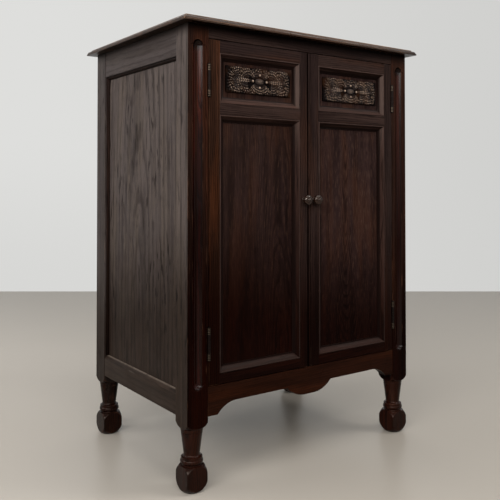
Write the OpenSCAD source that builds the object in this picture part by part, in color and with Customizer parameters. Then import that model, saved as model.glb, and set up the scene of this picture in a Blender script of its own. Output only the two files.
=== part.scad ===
// Oak gramophone cabinet: four turned and fluted corner posts, panelled sides,
// a pair of panelled doors on butt hinges, and record racks inside.
// Origin: on the floor, under the middle of the cabinet. +X right, +Y back, +Z up.

/* [Overall] */
// Height from the floor to the top face
overall_h = 902.5; // [860:2.5:940]
// Width across the corner posts
body_w = 600; // [560:5:660]
// Depth across the corner posts
body_d = 426; // [400:2:460]
// How far rails stand back from the faces of the posts
rail_setback = 0.8; // [0.4:0.1:1.5]

/* [Top board] */
// Thickness of the top board
top_t = 12; // [11:0.5:16]
// Overhang of the top board past the posts
top_overhang = 19; // [19:0.5:26]
// Radius of the rounded moulding along its edge
top_round_r = 6; // [5:0.5:7]
// Height and depth of the small steps of that moulding
top_step = 1.2; // [0.8:0.1:1.5]

/* [Corner posts] */
// Side of the square posts
post = 46; // [43:0.5:52]
// Height of the turned leg, from the floor to the square post
leg_h = 136; // [130:1:139]
// Width of the hollow flute in each front post
flute_w = 23; // [18:0.5:26]
// Depth of that flute
flute_depth = 9; // [6:0.5:11]
// Width of the shallow sunk field around the flute
field_w = 36; // [32:0.5:40]
// Depth of that field
field_depth = 1.5; // [1:0.1:2]
// Height of the lower end of the flute
flute_z0 = 192; // [186:1:200]
// Distance from the top of the post to the upper end of the flute
flute_top_gap = 30; // [24:1:40]
// How far the flute runs past the field at both ends
flute_runout = 10; // [8:0.5:14]

/* [Turned legs] */
// Side of the square block at the foot
foot_side = 45; // [42:0.5:46]
// Height of that block
foot_h = 49.5; // [46:0.5:52]
// Radius to which the corners of the block are turned
foot_turn_r = 32.6; // [32:0.1:34]
// Height of the middle of that turning above the floor
foot_turn_z = 27; // [25:0.5:28]
// Radius of the bead above the block
ring_r = 22.3; // [21:0.1:23]
// Thickness of that bead
ring_t = 12; // [10:0.5:14]
// Radius of the thinnest part of the leg
waist_r = 15.8; // [14:0.1:17]
// Radius of the collar at the top of the leg
collar_r = 21.7; // [20.5:0.1:22.5]
// Height of that collar
collar_h = 6; // [4:0.5:8]
// Height of the rounded shoulder under the square post
shoulder_h = 16.5; // [14:0.5:18]

/* [Front rails] */
// Height of the front rail under the top board
front_rail_h = 25.5; // [20:0.5:30]
// Thickness of the front rails
front_rail_t = 22; // [20:0.5:24]
// Height of the top edge of the apron
apron_top = 196; // [192:1:202]
// Height of the lowest parts of the apron
apron_low = 139.5; // [139:0.5:144]
// Height of its straight lower edges
apron_edge = 160.5; // [156:0.5:164]
// Width of the flat part of each end bracket
bracket_w = 22.5; // [16:0.5:30]
// Radius of the cove beside each bracket
bracket_r = 55; // [40:1:60]
// Half width of the hanging middle part
pendant_half = 60; // [54:1:66]
// Half width of its flat bottom
pendant_flat = 12; // [8:0.5:16]

/* [Sides and back] */
// Height of the upper side and back rails
side_top_h = 58.5; // [50:0.5:64]
// Height of the upper edge of the lower side and back rails
side_low_top = 187.5; // [184:0.5:192]
// Thickness of the side and back rails
side_rail_t = 20; // [19:0.5:22]
// Depth from the rail faces to the side panels
side_recess = 9.2; // [8:0.1:10]
// Thickness of the side panels
side_panel_t = 6; // [5:0.5:7]
// Height of the sloping edge on the lower side rails
sill_h = 8; // [6:0.5:10]
// Radius of the bead round the side panels
side_bead = 6; // [4:0.5:7]
// Thickness of the plywood back
back_t = 6; // [5:0.5:8]
// Width of the rebate that the back lies in
back_rebate = 8; // [6:0.5:10]

/* [Joinery] */
// Length of the tenons on the carcass rails
tenon_l = 18; // [14:0.5:20]
// Thickness of those tenons
tenon_t = 8; // [7:0.5:9]
// Depth of the grooves that hold panels and boards
groove = 6; // [5:0.5:7]
// Clearance round tenons
tenon_gap = 0.1; // [0.05:0.05:0.2]

/* [Inside] */
// Thickness of the bottom board and the shelf
board_t = 12; // [10:0.5:14]
// Height of the upper face of the bottom board
floor_z = 180; // [178:0.5:182]
// Clear height of the lower record racks, for 12 inch records
rack_h = 330; // [320:1:340]
// Thickness of the rack dividers
divider_t = 6; // [4:0.5:8]
// Number of dividers in each rack
dividers = 4; // [3:1:5]
// Distance from the doors back to the divider ends
divider_back = 30; // [20:1:50]
// Depth of the finger scoop in each divider
scoop = 38; // [25:1:50]
// Height of that scoop
scoop_h = 240; // [160:5:280]
// Depth of the housings that hold the dividers
housing = 3; // [2:0.5:4]
// Thickness of the shelf battens
batten_t = 12; // [10:0.5:15]
// Height of the shelf battens
batten_h = 18; // [14:0.5:24]
// Width of the door stops
stop_w = 40; // [25:1:60]
// Height of the door stops below the front rail
stop_drop = 9; // [7:0.5:12]
// Distance from the middle of the cabinet to the middle of each door stop
stop_x = 130; // [60:5:180]
// Clearance between the shut doors and the stops
stop_gap = 0.4; // [0.3:0.1:0.6]
// Side of the square blocks glued into the corners under the top board
block_side = 22; // [16:1:30]
// Length of those blocks
block_l = 60; // [40:5:90]

/* [Doors] */
// Thickness of the doors
door_t = 20; // [19:0.5:21]
// Gap above and below the doors
door_gap = 1.5; // [1.2:0.1:2]
// Gap between each door and its post
hinge_gap = 1.2; // [1:0.1:1.6]
// Gap between the two doors
meet_gap = 3.4; // [2:0.2:4]
// How far left of the middle the doors meet
meet_shift = 4.5; // [0:0.5:5]
// Visible width of the stiles beside the posts
hinge_stile = 24.5; // [22:0.5:30]
// Distance from the middle of the cabinet to the panels
panel_in = 26; // [24:0.5:30]
// Height of the upper door rails
door_top_h = 24; // [23:0.5:28]
// Height of the middle door rails
door_mid_h = 22.5; // [20:0.5:30]
// Height of the lower door rails
door_low_h = 20; // [18:0.5:26]
// Height of the opening for the small upper panels
upper_open_h = 98.5; // [86:0.5:110]
// Depth from the door face to the panels
door_recess = 12; // [11:0.5:12]
// Thickness of the door panels
door_panel_t = 6; // [5:0.5:6]
// Width of the mouldings round the panels
mould_w = 14; // [12:0.5:16]
// Length of the tenons on the door rails
door_tenon_l = 14; // [10:0.5:15]
// Thickness of those tenons
door_tenon_t = 7; // [6:0.5:8]
// Radius of the bead down the meeting edge of the right door
edge_bead_r = 2.3; // [1.5:0.1:2.5]

/* [Carvings] */
// Width of the carved plaques
carving_w = 150; // [130:1:160]
// Height of the carved plaques
carving_h = 53; // [48:1:58]
// Height of the carved plaques above the middle of their panels
carving_up = 2; // [0:0.5:4]
// Thickness of the ground of the carving
carving_t = 3; // [2:0.5:4]
// Height of the carved relief above its ground
relief = 4.5; // [3:0.5:5]

/* [Knobs] */
// Radius of the knobs
knob_r = 11; // [9:0.5:12]
// How far the knobs stand out
knob_l = 19; // [17:0.5:19]
// Radius of the rose of each knob
knob_rose_r = 7.5; // [7:0.5:8]
// Distance of each knob from the middle of the cabinet
knob_x = 14; // [13.5:0.5:15]
// Height of the knobs
knob_z = 550; // [500:1:600]
// Radius of the spigot that holds each knob
spigot_r = 4; // [3:0.5:5]
// Length of that spigot
spigot_l = 12; // [8:0.5:14]

/* [Hinges] */
// Length of the butt hinges
hinge_l = 63; // [50:1:76]
// Distance from the ends of the doors to the middles of the hinges
hinge_in = 80; // [60:1:110]
// Radius of the hinge knuckles
knuckle_r = 3; // [2.6:0.1:3.2]
// Radius of the hinge pins
pin_r = 1.4; // [1.1:0.1:1.6]
// Running clearance of the pins
pin_gap = 0.05; // [0.03:0.01:0.08]
// Thickness of the hinge leaves
leaf_t = 1.6; // [1.2:0.1:2]
// Width of the hinge leaves, let into the wood
leaf_w = 18; // [14:0.5:19]
// How far the pins stand in front of the doors
pin_out = 1; // [0.8:0.1:1.4]

/* [Ball catches] */
// Distance of the catches from the middle of the cabinet
catch_x = 60; // [50:1:90]
// Outer radius of the catch barrels
barrel_r = 4.5; // [4:0.1:5]
// Length of the catch barrels
barrel_l = 14; // [12:0.5:15]
// Thickness of their closed ends
barrel_end = 1.5; // [1.2:0.1:2]
// Clearance of the balls in the barrels
ball_play = 0.05; // [0.03:0.01:0.1]
// Radius of the catch balls
ball_r = 3.2; // [3:0.1:3.4]
// How far the balls stand out of the doors
ball_out = 1.2; // [0.8:0.1:1.2]
// Thickness of the strike plates
strike_t = 1.2; // [1:0.1:1.6]
// Length of the strike plates
strike_l = 24; // [20:1:30]
// Width of the strike plates
strike_w = 12; // [10:0.5:13]
// Radius of the hole in each strike plate
strike_hole_r = 2.4; // [2:0.1:2.8]

/* [Hidden] */
$fn = 64;
oak = [0.17, 0.09, 0.06];
oak_light = [0.24, 0.14, 0.09];
ply = [0.45, 0.33, 0.22];
brass = [0.55, 0.42, 0.20];
carved = [0.30, 0.20, 0.13];

// Planes of the carcass
half_w = body_w / 2;
half_d = body_d / 2;
front_y = -half_d;
carcass_top = overall_h - top_t;
post_in = half_w - post;
post_back = front_y + post;
rail_face = half_w - rail_setback;
side_open_top = carcass_top - side_top_h;
open_top = carcass_top - front_rail_h;
panel_x = rail_face - side_recess;
over = 0.5;
slack = 1;
tenon_in = 2;

// Planes of the doors, for a door hinged on the left
door_z0 = apron_top + door_gap;
door_z1 = open_top - door_gap;
door_hx = -post_in + hinge_gap;
open_x0 = door_hx + hinge_stile;
open_x1 = -panel_in;
upper_z1 = door_z1 - door_top_h;
upper_z0 = upper_z1 - upper_open_h;
lower_z1 = upper_z0 - door_mid_h;
lower_z0 = door_z0 + door_low_h;
left_meet = -meet_shift - meet_gap / 2;
right_meet = meet_shift - meet_gap / 2;
pin_x = -post_in + hinge_gap / 2;
pin_y = front_y - pin_out;
hinge_zs = [door_z1 - hinge_in, door_z0 + hinge_in];
knuckle_gap = knuckle_r / 10;
pin_head_r = knuckle_r * 0.87;
pin_head_h = knuckle_r * 0.4;
mould_bead_r = mould_w * 0.14;
mould_bead_y = mould_bead_r * 0.94;
mould_crest = mould_w * 0.02;

// Boards inside
shelf_z = floor_z + rack_h + board_t;
shelf_front = front_y + door_t + slack;
divider_front = shelf_front + divider_back;
rack_back = half_d - rail_setback - side_rail_t;

// A box between two opposite corners
module box(lo, hi) {
    translate(lo) cube(hi - lo);
}

// The other side's copy of a piece
module mirrored() {
    mirror([1, 0, 0]) children();
}

// A flat outline drawn in X and Z, as thick as t, from the plane at y towards the back
module plate_y(y, t) {
    translate([0, y + t, 0]) rotate([90, 0, 0]) linear_extrude(t) children();
}

// A flat outline drawn in Y and Z, as thick as t, from the plane at x to the right
module plate_x(x, t) {
    translate([x, 0, 0]) rotate([90, 0, 90]) linear_extrude(t) children();
}

// ---------------------------------------------------------------- posts

// Outline of the turned leg between the foot block and the shoulder
module leg_outline() {
    quirk = ring_t / 8;
    ring_z = foot_h + quirk;
    ring_mid = ring_z + ring_t / 2;
    cove_r = ring_t / 2.4;
    cove_z = ring_z + 1.25 * ring_t;
    collar_z = leg_h - shoulder_h - collar_h;
    collar_quirk = collar_h / 4;
    square([0.87 * ring_r, ring_z + quirk / 3]);
    translate([ring_r - ring_t / 2, ring_mid]) circle(d = ring_t);
    translate([0, ring_z]) square([ring_r - ring_t / 2, ring_t]);
    difference() {
        translate([0, ring_mid]) square([waist_r + cove_r, cove_z + cove_r - ring_mid]);
        translate([waist_r + cove_r, cove_z + cove_r]) circle(r = cove_r);
    }
    polygon([
        [0, cove_z],
        [waist_r, cove_z],
        [waist_r, cove_z + cove_r],
        [collar_r - 0.4 * collar_quirk, collar_z - collar_quirk],
        [collar_r - collar_quirk, collar_z - collar_quirk],
        [collar_r - collar_quirk, collar_z],
        [collar_r, collar_z],
        [collar_r, collar_z + collar_h + collar_quirk],
        [0, collar_z + collar_h + collar_quirk]
    ]);
}

// The square block of the foot, with its corners turned round
module foot_block() {
    intersection() {
        box([-foot_side / 2, -foot_side / 2, 0], [foot_side / 2, foot_side / 2, foot_h]);
        rotate_extrude() intersection() {
            square([foot_turn_r, foot_h]);
            translate([0, foot_turn_z]) circle(r = foot_turn_r);
        }
    }
}

// The rounded shoulder where the square post ends and the turning begins
module shoulder() {
    corner_r = post / sqrt(2) + over;
    z0 = leg_h - shoulder_h;
    rise = shoulder_h;
    inset = corner_r - collar_r;
    round_r = (rise * rise + inset * inset) / (2 * inset);
    intersection() {
        box([-post / 2, -post / 2, z0], [post / 2, post / 2, leg_h]);
        rotate_extrude() intersection() {
            translate([0, z0]) square([corner_r + slack, rise]);
            union() {
                translate([corner_r - round_r, leg_h]) circle(r = round_r);
                translate([0, z0]) square([corner_r - round_r, rise]);
            }
        }
    }
}

// One post with its leg, standing on the floor at the origin
module post_blank() {
    foot_block();
    rotate_extrude() leg_outline();
    shoulder();
    box([-post / 2, -post / 2, leg_h], [post / 2, post / 2, carcass_top]);
}

// The stopped flute and its sunk field, in the face of a post standing at x
module flute_cut(x) {
    r = (flute_w * flute_w / 4 + flute_depth * flute_depth) / (2 * flute_depth);
    y = front_y - (r - flute_depth);
    z0 = flute_z0 + flute_w / 2;
    z1 = carcass_top - flute_top_gap - flute_w / 2;
    field_z0 = flute_z0 + flute_runout;
    field_z1 = carcass_top - flute_top_gap - flute_runout;
    translate([x, y, z0]) cylinder(r = r, h = z1 - z0);
    for (z = [z0, z1]) translate([x, y, z]) sphere(r = r);
    box([x - field_w / 2, front_y - over, field_z0],
        [x + field_w / 2, front_y + field_depth, field_z1]);
}

// Room round the knuckles and the pin head of one hinge
module knuckle_cut(z) {
    translate([pin_x, pin_y, z - hinge_l / 2 - knuckle_gap])
        cylinder(r = knuckle_r + knuckle_gap, h = hinge_l + pin_head_h + 2 * knuckle_gap);
}

// Room for the frame leaf and the knuckles of one hinge, in the left post
module frame_hinge_cut(z) {
    box([-post_in - leaf_t, front_y - over, z - hinge_l / 2],
        [-post_in + over, front_y + leaf_w, z + hinge_l / 2]);
    knuckle_cut(z);
}

// Grooves for the side panel, seen from either post: y is the inner face of the post
module panel_groove_cut(y) {
    box([-panel_x, y - groove, side_low_top - groove],
        [-panel_x + side_panel_t, y + groove, side_open_top + groove]);
}

module front_left_post() {
    color(oak) difference() {
        translate([-half_w + post / 2, front_y + post / 2, 0]) post_blank();
        flute_cut(-half_w + post / 2);
        for (z = hinge_zs) frame_hinge_cut(z);
        panel_groove_cut(post_back);
        side_tenon(carcass_top - side_top_h, carcass_top, tenon_gap);
        side_tenon(apron_low, side_low_top, tenon_gap);
        front_tenon(open_top, carcass_top, tenon_gap);
        front_tenon(apron_low, apron_top, tenon_gap);
    }
}

module rear_left_post() {
    color(oak) difference() {
        translate([-half_w + post / 2, half_d - post / 2, 0]) post_blank();
        panel_groove_cut(half_d - post);
        side_tenon(carcass_top - side_top_h, carcass_top, tenon_gap);
        side_tenon(apron_low, side_low_top, tenon_gap);
        rear_tenon(carcass_top - side_top_h, carcass_top, tenon_gap);
        rear_tenon(apron_low, side_low_top, tenon_gap);
        back_space();
    }
}

module front_right_post() {
    mirrored() front_left_post();
}

module rear_right_post() {
    mirrored() rear_left_post();
}

// ---------------------------------------------------------------- rails

// Both tenons of a left side rail between heights z0 and z1, larger by gap for a mortise
module side_tenon(z0, z1, gap) {
    x0 = -rail_face + (side_rail_t - tenon_t) / 2;
    box([x0 - gap, post_back - tenon_l - gap, z0 + groove + tenon_in - gap],
        [x0 + tenon_t + gap, half_d - post + tenon_l + gap, z1 - groove - tenon_in + gap]);
}

// Both tenons of a front rail
module front_tenon(z0, z1, gap) {
    y0 = front_y + rail_setback + (front_rail_t - tenon_t) / 2;
    box([-post_in - tenon_l - gap, y0 - gap, z0 + 2 * tenon_in - gap],
        [post_in + tenon_l + gap, y0 + tenon_t + gap, z1 - 2 * tenon_in + gap]);
}

// Both tenons of a back rail
module rear_tenon(z0, z1, gap) {
    y0 = half_d - back_t - 1.5 * tenon_t;
    box([-post_in - tenon_l - gap, y0 - gap, z0 + groove + tenon_in - gap],
        [post_in + tenon_l + gap, y0 + tenon_t + gap, z1 - groove - tenon_in + gap]);
}

// The space that the bottom board fills, grooves included
module floor_space() {
    box([-rail_face + side_rail_t - groove, front_y + rail_setback + front_rail_t - groove,
         floor_z - board_t],
        [rail_face - side_rail_t + groove, rack_back + groove, floor_z]);
}

// The space that the back panel fills
module back_space() {
    box([-post_in - back_rebate, half_d - back_t, side_low_top - back_rebate],
        [post_in + back_rebate, half_d + over, side_open_top + back_rebate]);
}

module front_top_rail() {
    color(oak) difference() {
        union() {
            box([-post_in, front_y + rail_setback, open_top],
                [post_in, front_y + rail_setback + front_rail_t, carcass_top]);
            front_tenon(open_top, carcass_top, 0);
        }
        strike_space();
        for (s = [-1, 1]) translate([s * catch_x, front_y + door_t / 2, open_top])
            cylinder(r = strike_hole_r, h = 3 * strike_t);
    }
}

// Outline of the apron: end brackets, coves, straight edges and the hanging middle
module apron_outline() {
    drop = apron_edge - apron_low;
    cove_w = sqrt(bracket_r * bracket_r - (bracket_r - drop) * (bracket_r - drop));
    cove_x = post_in - bracket_w - cove_w;
    run = pendant_half - pendant_flat;
    pendant_r = (run * run + drop * drop) / (2 * drop);
    translate([-post_in, apron_edge]) square([2 * post_in, apron_top - apron_edge]);
    for (s = [-1, 1]) scale([s, 1]) difference() {
        translate([cove_x, apron_low]) square([bracket_w + cove_w, drop + 1]);
        translate([cove_x, apron_edge - bracket_r]) circle(r = bracket_r, $fn = 128);
    }
    intersection() {
        translate([-pendant_half, apron_low]) square([2 * pendant_half, drop + 1]);
        union() {
            translate([-pendant_flat, apron_low]) square([2 * pendant_flat, drop + 1]);
            for (s = [-1, 1])
                translate([s * pendant_flat, apron_low + pendant_r])
                    circle(r = pendant_r, $fn = 128);
        }
    }
}

module front_apron() {
    tenon_root = post_in - bracket_w / 2;
    color(oak) difference() {
        union() {
            plate_y(front_y + rail_setback, front_rail_t) apron_outline();
            difference() {
                front_tenon(apron_low, apron_top, 0);
                box([-tenon_root, front_y, 0], [tenon_root, post_back, apron_top]);
            }
        }
        floor_space();
    }
}

module left_top_rail() {
    color(oak) difference() {
        union() {
            box([-rail_face, post_back, side_open_top],
                [-rail_face + side_rail_t, half_d - post, carcass_top]);
            side_tenon(side_open_top, carcass_top, 0);
        }
        left_panel_space();
    }
}

module left_low_rail() {
    color(oak) difference() {
        union() {
            box([-rail_face, post_back, apron_low],
                [-rail_face + side_rail_t, half_d - post, side_low_top]);
            side_tenon(apron_low, side_low_top, 0);
        }
        left_panel_space();
        floor_space();
        translate([0, half_d, 0]) rotate([90, 0, 0]) linear_extrude(body_d) polygon([
            [-rail_face, side_low_top - sill_h],
            [-panel_x, side_low_top],
            [-panel_x, side_low_top + over],
            [-rail_face - over, side_low_top + over],
            [-rail_face - over, side_low_top - sill_h]
        ]);
    }
}

module right_top_rail() {
    mirrored() left_top_rail();
}

module right_low_rail() {
    mirrored() left_low_rail();
}

// ---------------------------------------------------------------- side panels

// The space that the left side panel fills, grooves included
module left_panel_space() {
    box([-panel_x, post_back - groove, side_low_top - groove],
        [-panel_x + side_panel_t, half_d - post + groove, side_open_top + groove]);
}

module left_panel() {
    color(oak_light) left_panel_space();
}

module right_panel() {
    mirrored() left_panel();
}

// One bead of quarter round section, mitred at both ends, from a to b along its run
module mitred_bead(length) {
    intersection() {
        translate([0, 0, -length / 2]) linear_extrude(length) intersection() {
            square(side_bead);
            circle(r = side_bead);
        }
        rotate([0, -90, 0]) translate([0, 0, -side_bead]) linear_extrude(side_bead) polygon([
            [-length / 2, 0],
            [length / 2, 0],
            [length / 2 - side_bead, side_bead],
            [-length / 2 + side_bead, side_bead]
        ]);
    }
}

// Beads along the top and both uprights of the left side panel
module left_beads() {
    run_y = body_d - 2 * post;
    run_z = side_open_top - side_low_top;
    mid_z = (side_open_top + side_low_top) / 2;
    translate([-panel_x, 0, side_open_top]) rotate([-90, 0, 0]) mirror([1, 0, 0])
        mitred_bead(run_y);
    for (s = [-1, 1]) scale([1, s, 1]) intersection() {
        translate([-panel_x, post_back, mid_z - side_bead]) mirror([1, 0, 0])
            mitred_bead(run_z + 2 * side_bead);
        box([-half_w, front_y, side_low_top], [0, 0, side_open_top]);
    }
}

module side_beads() {
    color(oak) {
        left_beads();
        mirrored() left_beads();
    }
}

// ---------------------------------------------------------------- back

module rear_rail(z0, z1) {
    difference() {
        union() {
            box([-post_in, rack_back, z0], [post_in, half_d - rail_setback, z1]);
            rear_tenon(z0, z1, 0);
        }
        back_space();
        floor_space();
    }
}

module rear_top_rail() {
    color(oak) rear_rail(side_open_top, carcass_top);
}

module rear_low_rail() {
    color(oak) rear_rail(apron_low, side_low_top);
}

module back_panel() {
    color(ply) intersection() {
        back_space();
        box([-half_w, 0, 0], [half_w, half_d, carcass_top]);
    }
}

// ---------------------------------------------------------------- inside

// The corner that a post takes out of a board
module post_notches() {
    for (sx = [-1, 1]) for (sy = [-1, 1]) scale([sx, sy, 1])
        box([post_in, half_d - post, 0], [half_w, half_d, carcass_top]);
}

// Places of the dividers across the rack
function divider_x(i) = -post_in + (i + 1) * 2 * post_in / (dividers + 1);

// Housings for the dividers in a face at height z
module housings(z) {
    for (i = [0 : dividers - 1])
        box([divider_x(i) - divider_t / 2, divider_front, z - housing],
            [divider_x(i) + divider_t / 2, rack_back, z + housing]);
}

module bottom_board() {
    color(oak_light) difference() {
        floor_space();
        post_notches();
        housings(floor_z);
    }
}

module shelf() {
    color(oak_light) difference() {
        box([-panel_x + side_panel_t, shelf_front, shelf_z - board_t],
            [panel_x - side_panel_t, half_d - back_t, shelf_z]);
        post_notches();
        housings(shelf_z - board_t);
        housings(shelf_z);
    }
}

module shelf_battens() {
    color(oak_light) for (s = [-1, 1]) scale([s, 1, 1])
        box([post_in - batten_t, shelf_front + batten_t, shelf_z - board_t - batten_h],
            [post_in, half_d - back_t, shelf_z - board_t]);
}

// One divider, from height z0 to z1, with a finger scoop in its front edge
module divider(x, z0, z1) {
    r = (scoop_h * scoop_h / 4 + scoop * scoop) / (2 * scoop);
    plate_x(x - divider_t / 2, divider_t) difference() {
        translate([divider_front, z0 - housing])
            square([rack_back - divider_front, z1 - z0 + 2 * housing]);
        translate([divider_front + scoop - r, (z0 + z1) / 2]) circle(r = r, $fn = 128);
    }
}

module lower_dividers() {
    color(ply) for (i = [0 : dividers - 1])
        divider(divider_x(i), floor_z, shelf_z - board_t);
}

module upper_dividers() {
    color(ply) for (i = [0 : dividers - 1])
        divider(divider_x(i), shelf_z, carcass_top);
}

// Blocks glued into the corners between the top rails and the top board
module top_blocks() {
    rail_x = rail_face - side_rail_t;
    color(oak_light) for (sx = [-1, 1]) scale([sx, 1, 1])
        for (y = [post_back + block_l, half_d - post - block_l])
            box([rail_x - block_side, y - block_l / 2, carcass_top - block_side],
                [rail_x, y + block_l / 2, carcass_top]);
}

// Blocks behind the front rail that the shut doors come up to
module door_stops() {
    stop_y = front_y + door_t + stop_gap;
    rail_back = front_y + rail_setback + front_rail_t;
    color(oak_light) for (s = [-1, 1]) difference() {
        box([s * stop_x - stop_w / 2, stop_y, open_top - stop_drop],
            [s * stop_x + stop_w / 2, rail_back + batten_t, carcass_top - slack]);
        box([-post_in, front_y, open_top], [post_in, rail_back, carcass_top]);
    }
}

// ---------------------------------------------------------------- top board

// Section of the top board across half width h, with its moulded edges
module top_section(h) {
    low = top_t * 0.275;
    out = h + top_overhang;
    round_x = out - top_step - top_round_r;
    translate([-out, 0]) square([2 * out, low]);
    translate([-round_x, 0]) square([2 * round_x, low + top_round_r]);
    for (s = [-1, 1]) translate([s * round_x, low]) intersection() {
        circle(r = top_round_r);
        translate([-top_round_r, 0]) square(2 * top_round_r);
    }
    translate([-round_x + top_step, 0]) square([2 * (round_x - top_step), top_t]);
}

module top_board() {
    color(oak_light) difference() {
        translate([0, 0, carcass_top]) intersection() {
            plate_y(-half_d - top_overhang, body_d + 2 * top_overhang) top_section(half_w);
            plate_x(-half_w - top_overhang, body_w + 2 * top_overhang) top_section(half_d);
        }
        housings(carcass_top);
    }
}

// ---------------------------------------------------------------- doors, drawn hinged on the left

// The spaces that the two panels of a door fill, grooves included
module door_panel_space(z0, z1) {
    box([open_x0 - groove, front_y + door_recess, z0 - groove],
        [open_x1 + groove, front_y + door_recess + door_panel_t, z1 + groove]);
}

// Both tenons of a door rail; low and high are the edges that hold no panel
module door_tenon(z0, z1, gap) {
    y0 = front_y + door_t - tenon_in - door_tenon_t;
    box([open_x0 - door_tenon_l - gap, y0 - gap, z0 - gap],
        [open_x1 + door_tenon_l + gap, y0 + door_tenon_t + gap, z1 + gap]);
}

module all_door_tenons(gap) {
    clear = groove + slack;
    end = 1.5 * tenon_in;
    door_tenon(door_z0 + end, lower_z0 - clear, gap);
    door_tenon(lower_z1 + clear, upper_z0 - clear, gap);
    door_tenon(upper_z1 + clear, door_z1 - end, gap);
}

module all_panel_spaces() {
    door_panel_space(lower_z0, lower_z1);
    door_panel_space(upper_z0, upper_z1);
}

// Room for the door leaf and the knuckles of one hinge, in the hinge stile
module door_hinge_cut(z) {
    box([door_hx - over, front_y - over, z - hinge_l / 2],
        [door_hx + leaf_t, front_y + leaf_w, z + hinge_l / 2]);
    knuckle_cut(z);
}

module hinge_stile() {
    color(oak) difference() {
        box([door_hx, front_y, door_z0], [open_x0, front_y + door_t, door_z1]);
        all_door_tenons(tenon_gap);
        all_panel_spaces();
        for (z = hinge_zs) door_hinge_cut(z);
    }
}

// The stile where the doors meet, its edge at x = meet; bead_r rounds that edge
module meeting_stile(meet, bead_r) {
    color(oak) difference() {
        box([open_x1, front_y, door_z0], [meet, front_y + door_t, door_z1]);
        all_door_tenons(tenon_gap);
        all_panel_spaces();
        translate([-knob_x, front_y - over, knob_z]) rotate([-90, 0, 0])
            cylinder(r = spigot_r + tenon_gap, h = over + spigot_l + slack);
        if (bead_r > 0) edge_bead_cut(meet, bead_r);
    }
}

// What rounding the front corner of an edge at x = meet takes away, with a quirk behind the bead
module edge_bead_cut(meet, r) {
    translate([meet - r, front_y + r, door_z0 - over]) linear_extrude(door_z1 - door_z0 + 2 * over)
        difference() {
            translate([0, -r - over]) square(r + over);
            circle(r = r);
        }
    quirk = r * 0.35;
    box([meet - 2 * r - quirk, front_y - over, door_z0 - over],
        [meet - 2 * r, front_y + quirk, door_z1 + over]);
}

// A door rail between heights z0 and z1, without its tenons
module door_rail(z0, z1) {
    difference() {
        box([open_x0, front_y, z0], [open_x1, front_y + door_t, z1]);
        all_panel_spaces();
    }
}

module top_rail() {
    color(oak) {
        difference() {
            door_rail(upper_z1, door_z1);
            translate([-catch_x, front_y + door_t / 2, door_z1 - barrel_l])
                cylinder(r = barrel_r, h = barrel_l + over);
        }
        door_tenons_between(upper_z1, door_z1);
    }
}

// The tenon stubs outside the rail, for the rail between z0 and z1
module door_tenons_between(z0, z1) {
    intersection() {
        all_door_tenons(0);
        union() {
            box([open_x0 - door_tenon_l, front_y, z0], [open_x0, front_y + door_t, z1]);
            box([open_x1, front_y, z0], [open_x1 + door_tenon_l, front_y + door_t, z1]);
        }
    }
}

module mid_rail() {
    color(oak) {
        door_rail(lower_z1, upper_z0);
        door_tenons_between(lower_z1, upper_z0);
    }
}

module low_rail() {
    color(oak) {
        door_rail(door_z0, lower_z0);
        door_tenons_between(door_z0, lower_z0);
    }
}

module upper_panel() {
    color(oak_light) door_panel_space(upper_z0, upper_z1);
}

module lower_panel() {
    color(oak_light) door_panel_space(lower_z0, lower_z1);
}

// Section of the panel moulding: x runs in from the frame, y back from the door face
module mould_section() {
    crest = mould_bead_r + mould_crest;
    fillet_y = door_recess * 0.87;
    slope_x = mould_w * 0.925;
    run = slope_x - crest;
    chord = sqrt(run * run + fillet_y * fillet_y);
    cove_r = 1.6 * chord;
    // the shallow cove passes through both ends of the slope, its centre up and in
    rise = sqrt(cove_r * cove_r - chord * chord / 4);
    centre_x = (crest + slope_x) / 2 + rise * fillet_y / chord;
    centre_y = fillet_y / 2 - rise * run / chord;
    difference() {
        polygon([
            [-over, 0],
            [crest, 0],
            [slope_x, fillet_y],
            [mould_w, fillet_y],
            [mould_w, door_recess],
            [-over, door_recess]
        ]);
        translate([centre_x, centre_y]) circle(r = cove_r);
    }
}

// Section across a whole moulding frame of width w, with its two outer edges rounded
module mould_edges(w) {
    translate([-w / 2, mould_bead_y]) square([w, door_recess]);
    translate([-w / 2 + mould_bead_r, -over]) square([w - 2 * mould_bead_r, door_recess]);
    for (s = [-1, 1]) translate([s * (w / 2 - mould_bead_r), mould_bead_y])
        circle(r = mould_bead_r, $fn = 32);
}

// A section with x up and y back, run along X for a length and a little over at both ends
module run_along_x(length) {
    rotate([90, 0, 90]) translate([0, 0, -length / 2 - over]) linear_extrude(length + 2 * over)
        rotate(90) mirror([0, 1]) children();
}

// Moulding round the opening between heights z0 and z1, its lengths meeting in mitres
module mould_frame(z0, z1) {
    mid_x = (open_x0 + open_x1) / 2;
    mid_z = (z0 + z1) / 2;
    wide = open_x1 - open_x0;
    high = z1 - z0;
    color(oak) translate([mid_x, front_y, mid_z]) intersection() {
        union() {
            for (turn = [0, 180]) rotate([0, turn, 0]) translate([0, 0, -high / 2])
                run_along_x(wide) mould_section();
            for (turn = [90, 270]) rotate([0, turn, 0]) translate([0, 0, -wide / 2])
                run_along_x(high) mould_section();
        }
        run_along_x(wide) mould_edges(high);
        rotate([0, 90, 0]) run_along_x(high) mould_edges(wide);
    }
}

// A pointed leaf of length l, width w and height h, domed, lying on the XY plane along +X
module leaf(l, w, h) {
    arc_r = (l * l / 4 + w * w / 4) / w;
    dome_r = (l * l / 4 + h * h) / (2 * h);
    intersection() {
        linear_extrude(h + over) intersection() {
            translate([l / 2, arc_r - w / 2]) circle(r = arc_r);
            translate([l / 2, -arc_r + w / 2]) circle(r = arc_r);
        }
        translate([l / 2, 0, h - dome_r]) sphere(r = dome_r);
    }
}

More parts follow.
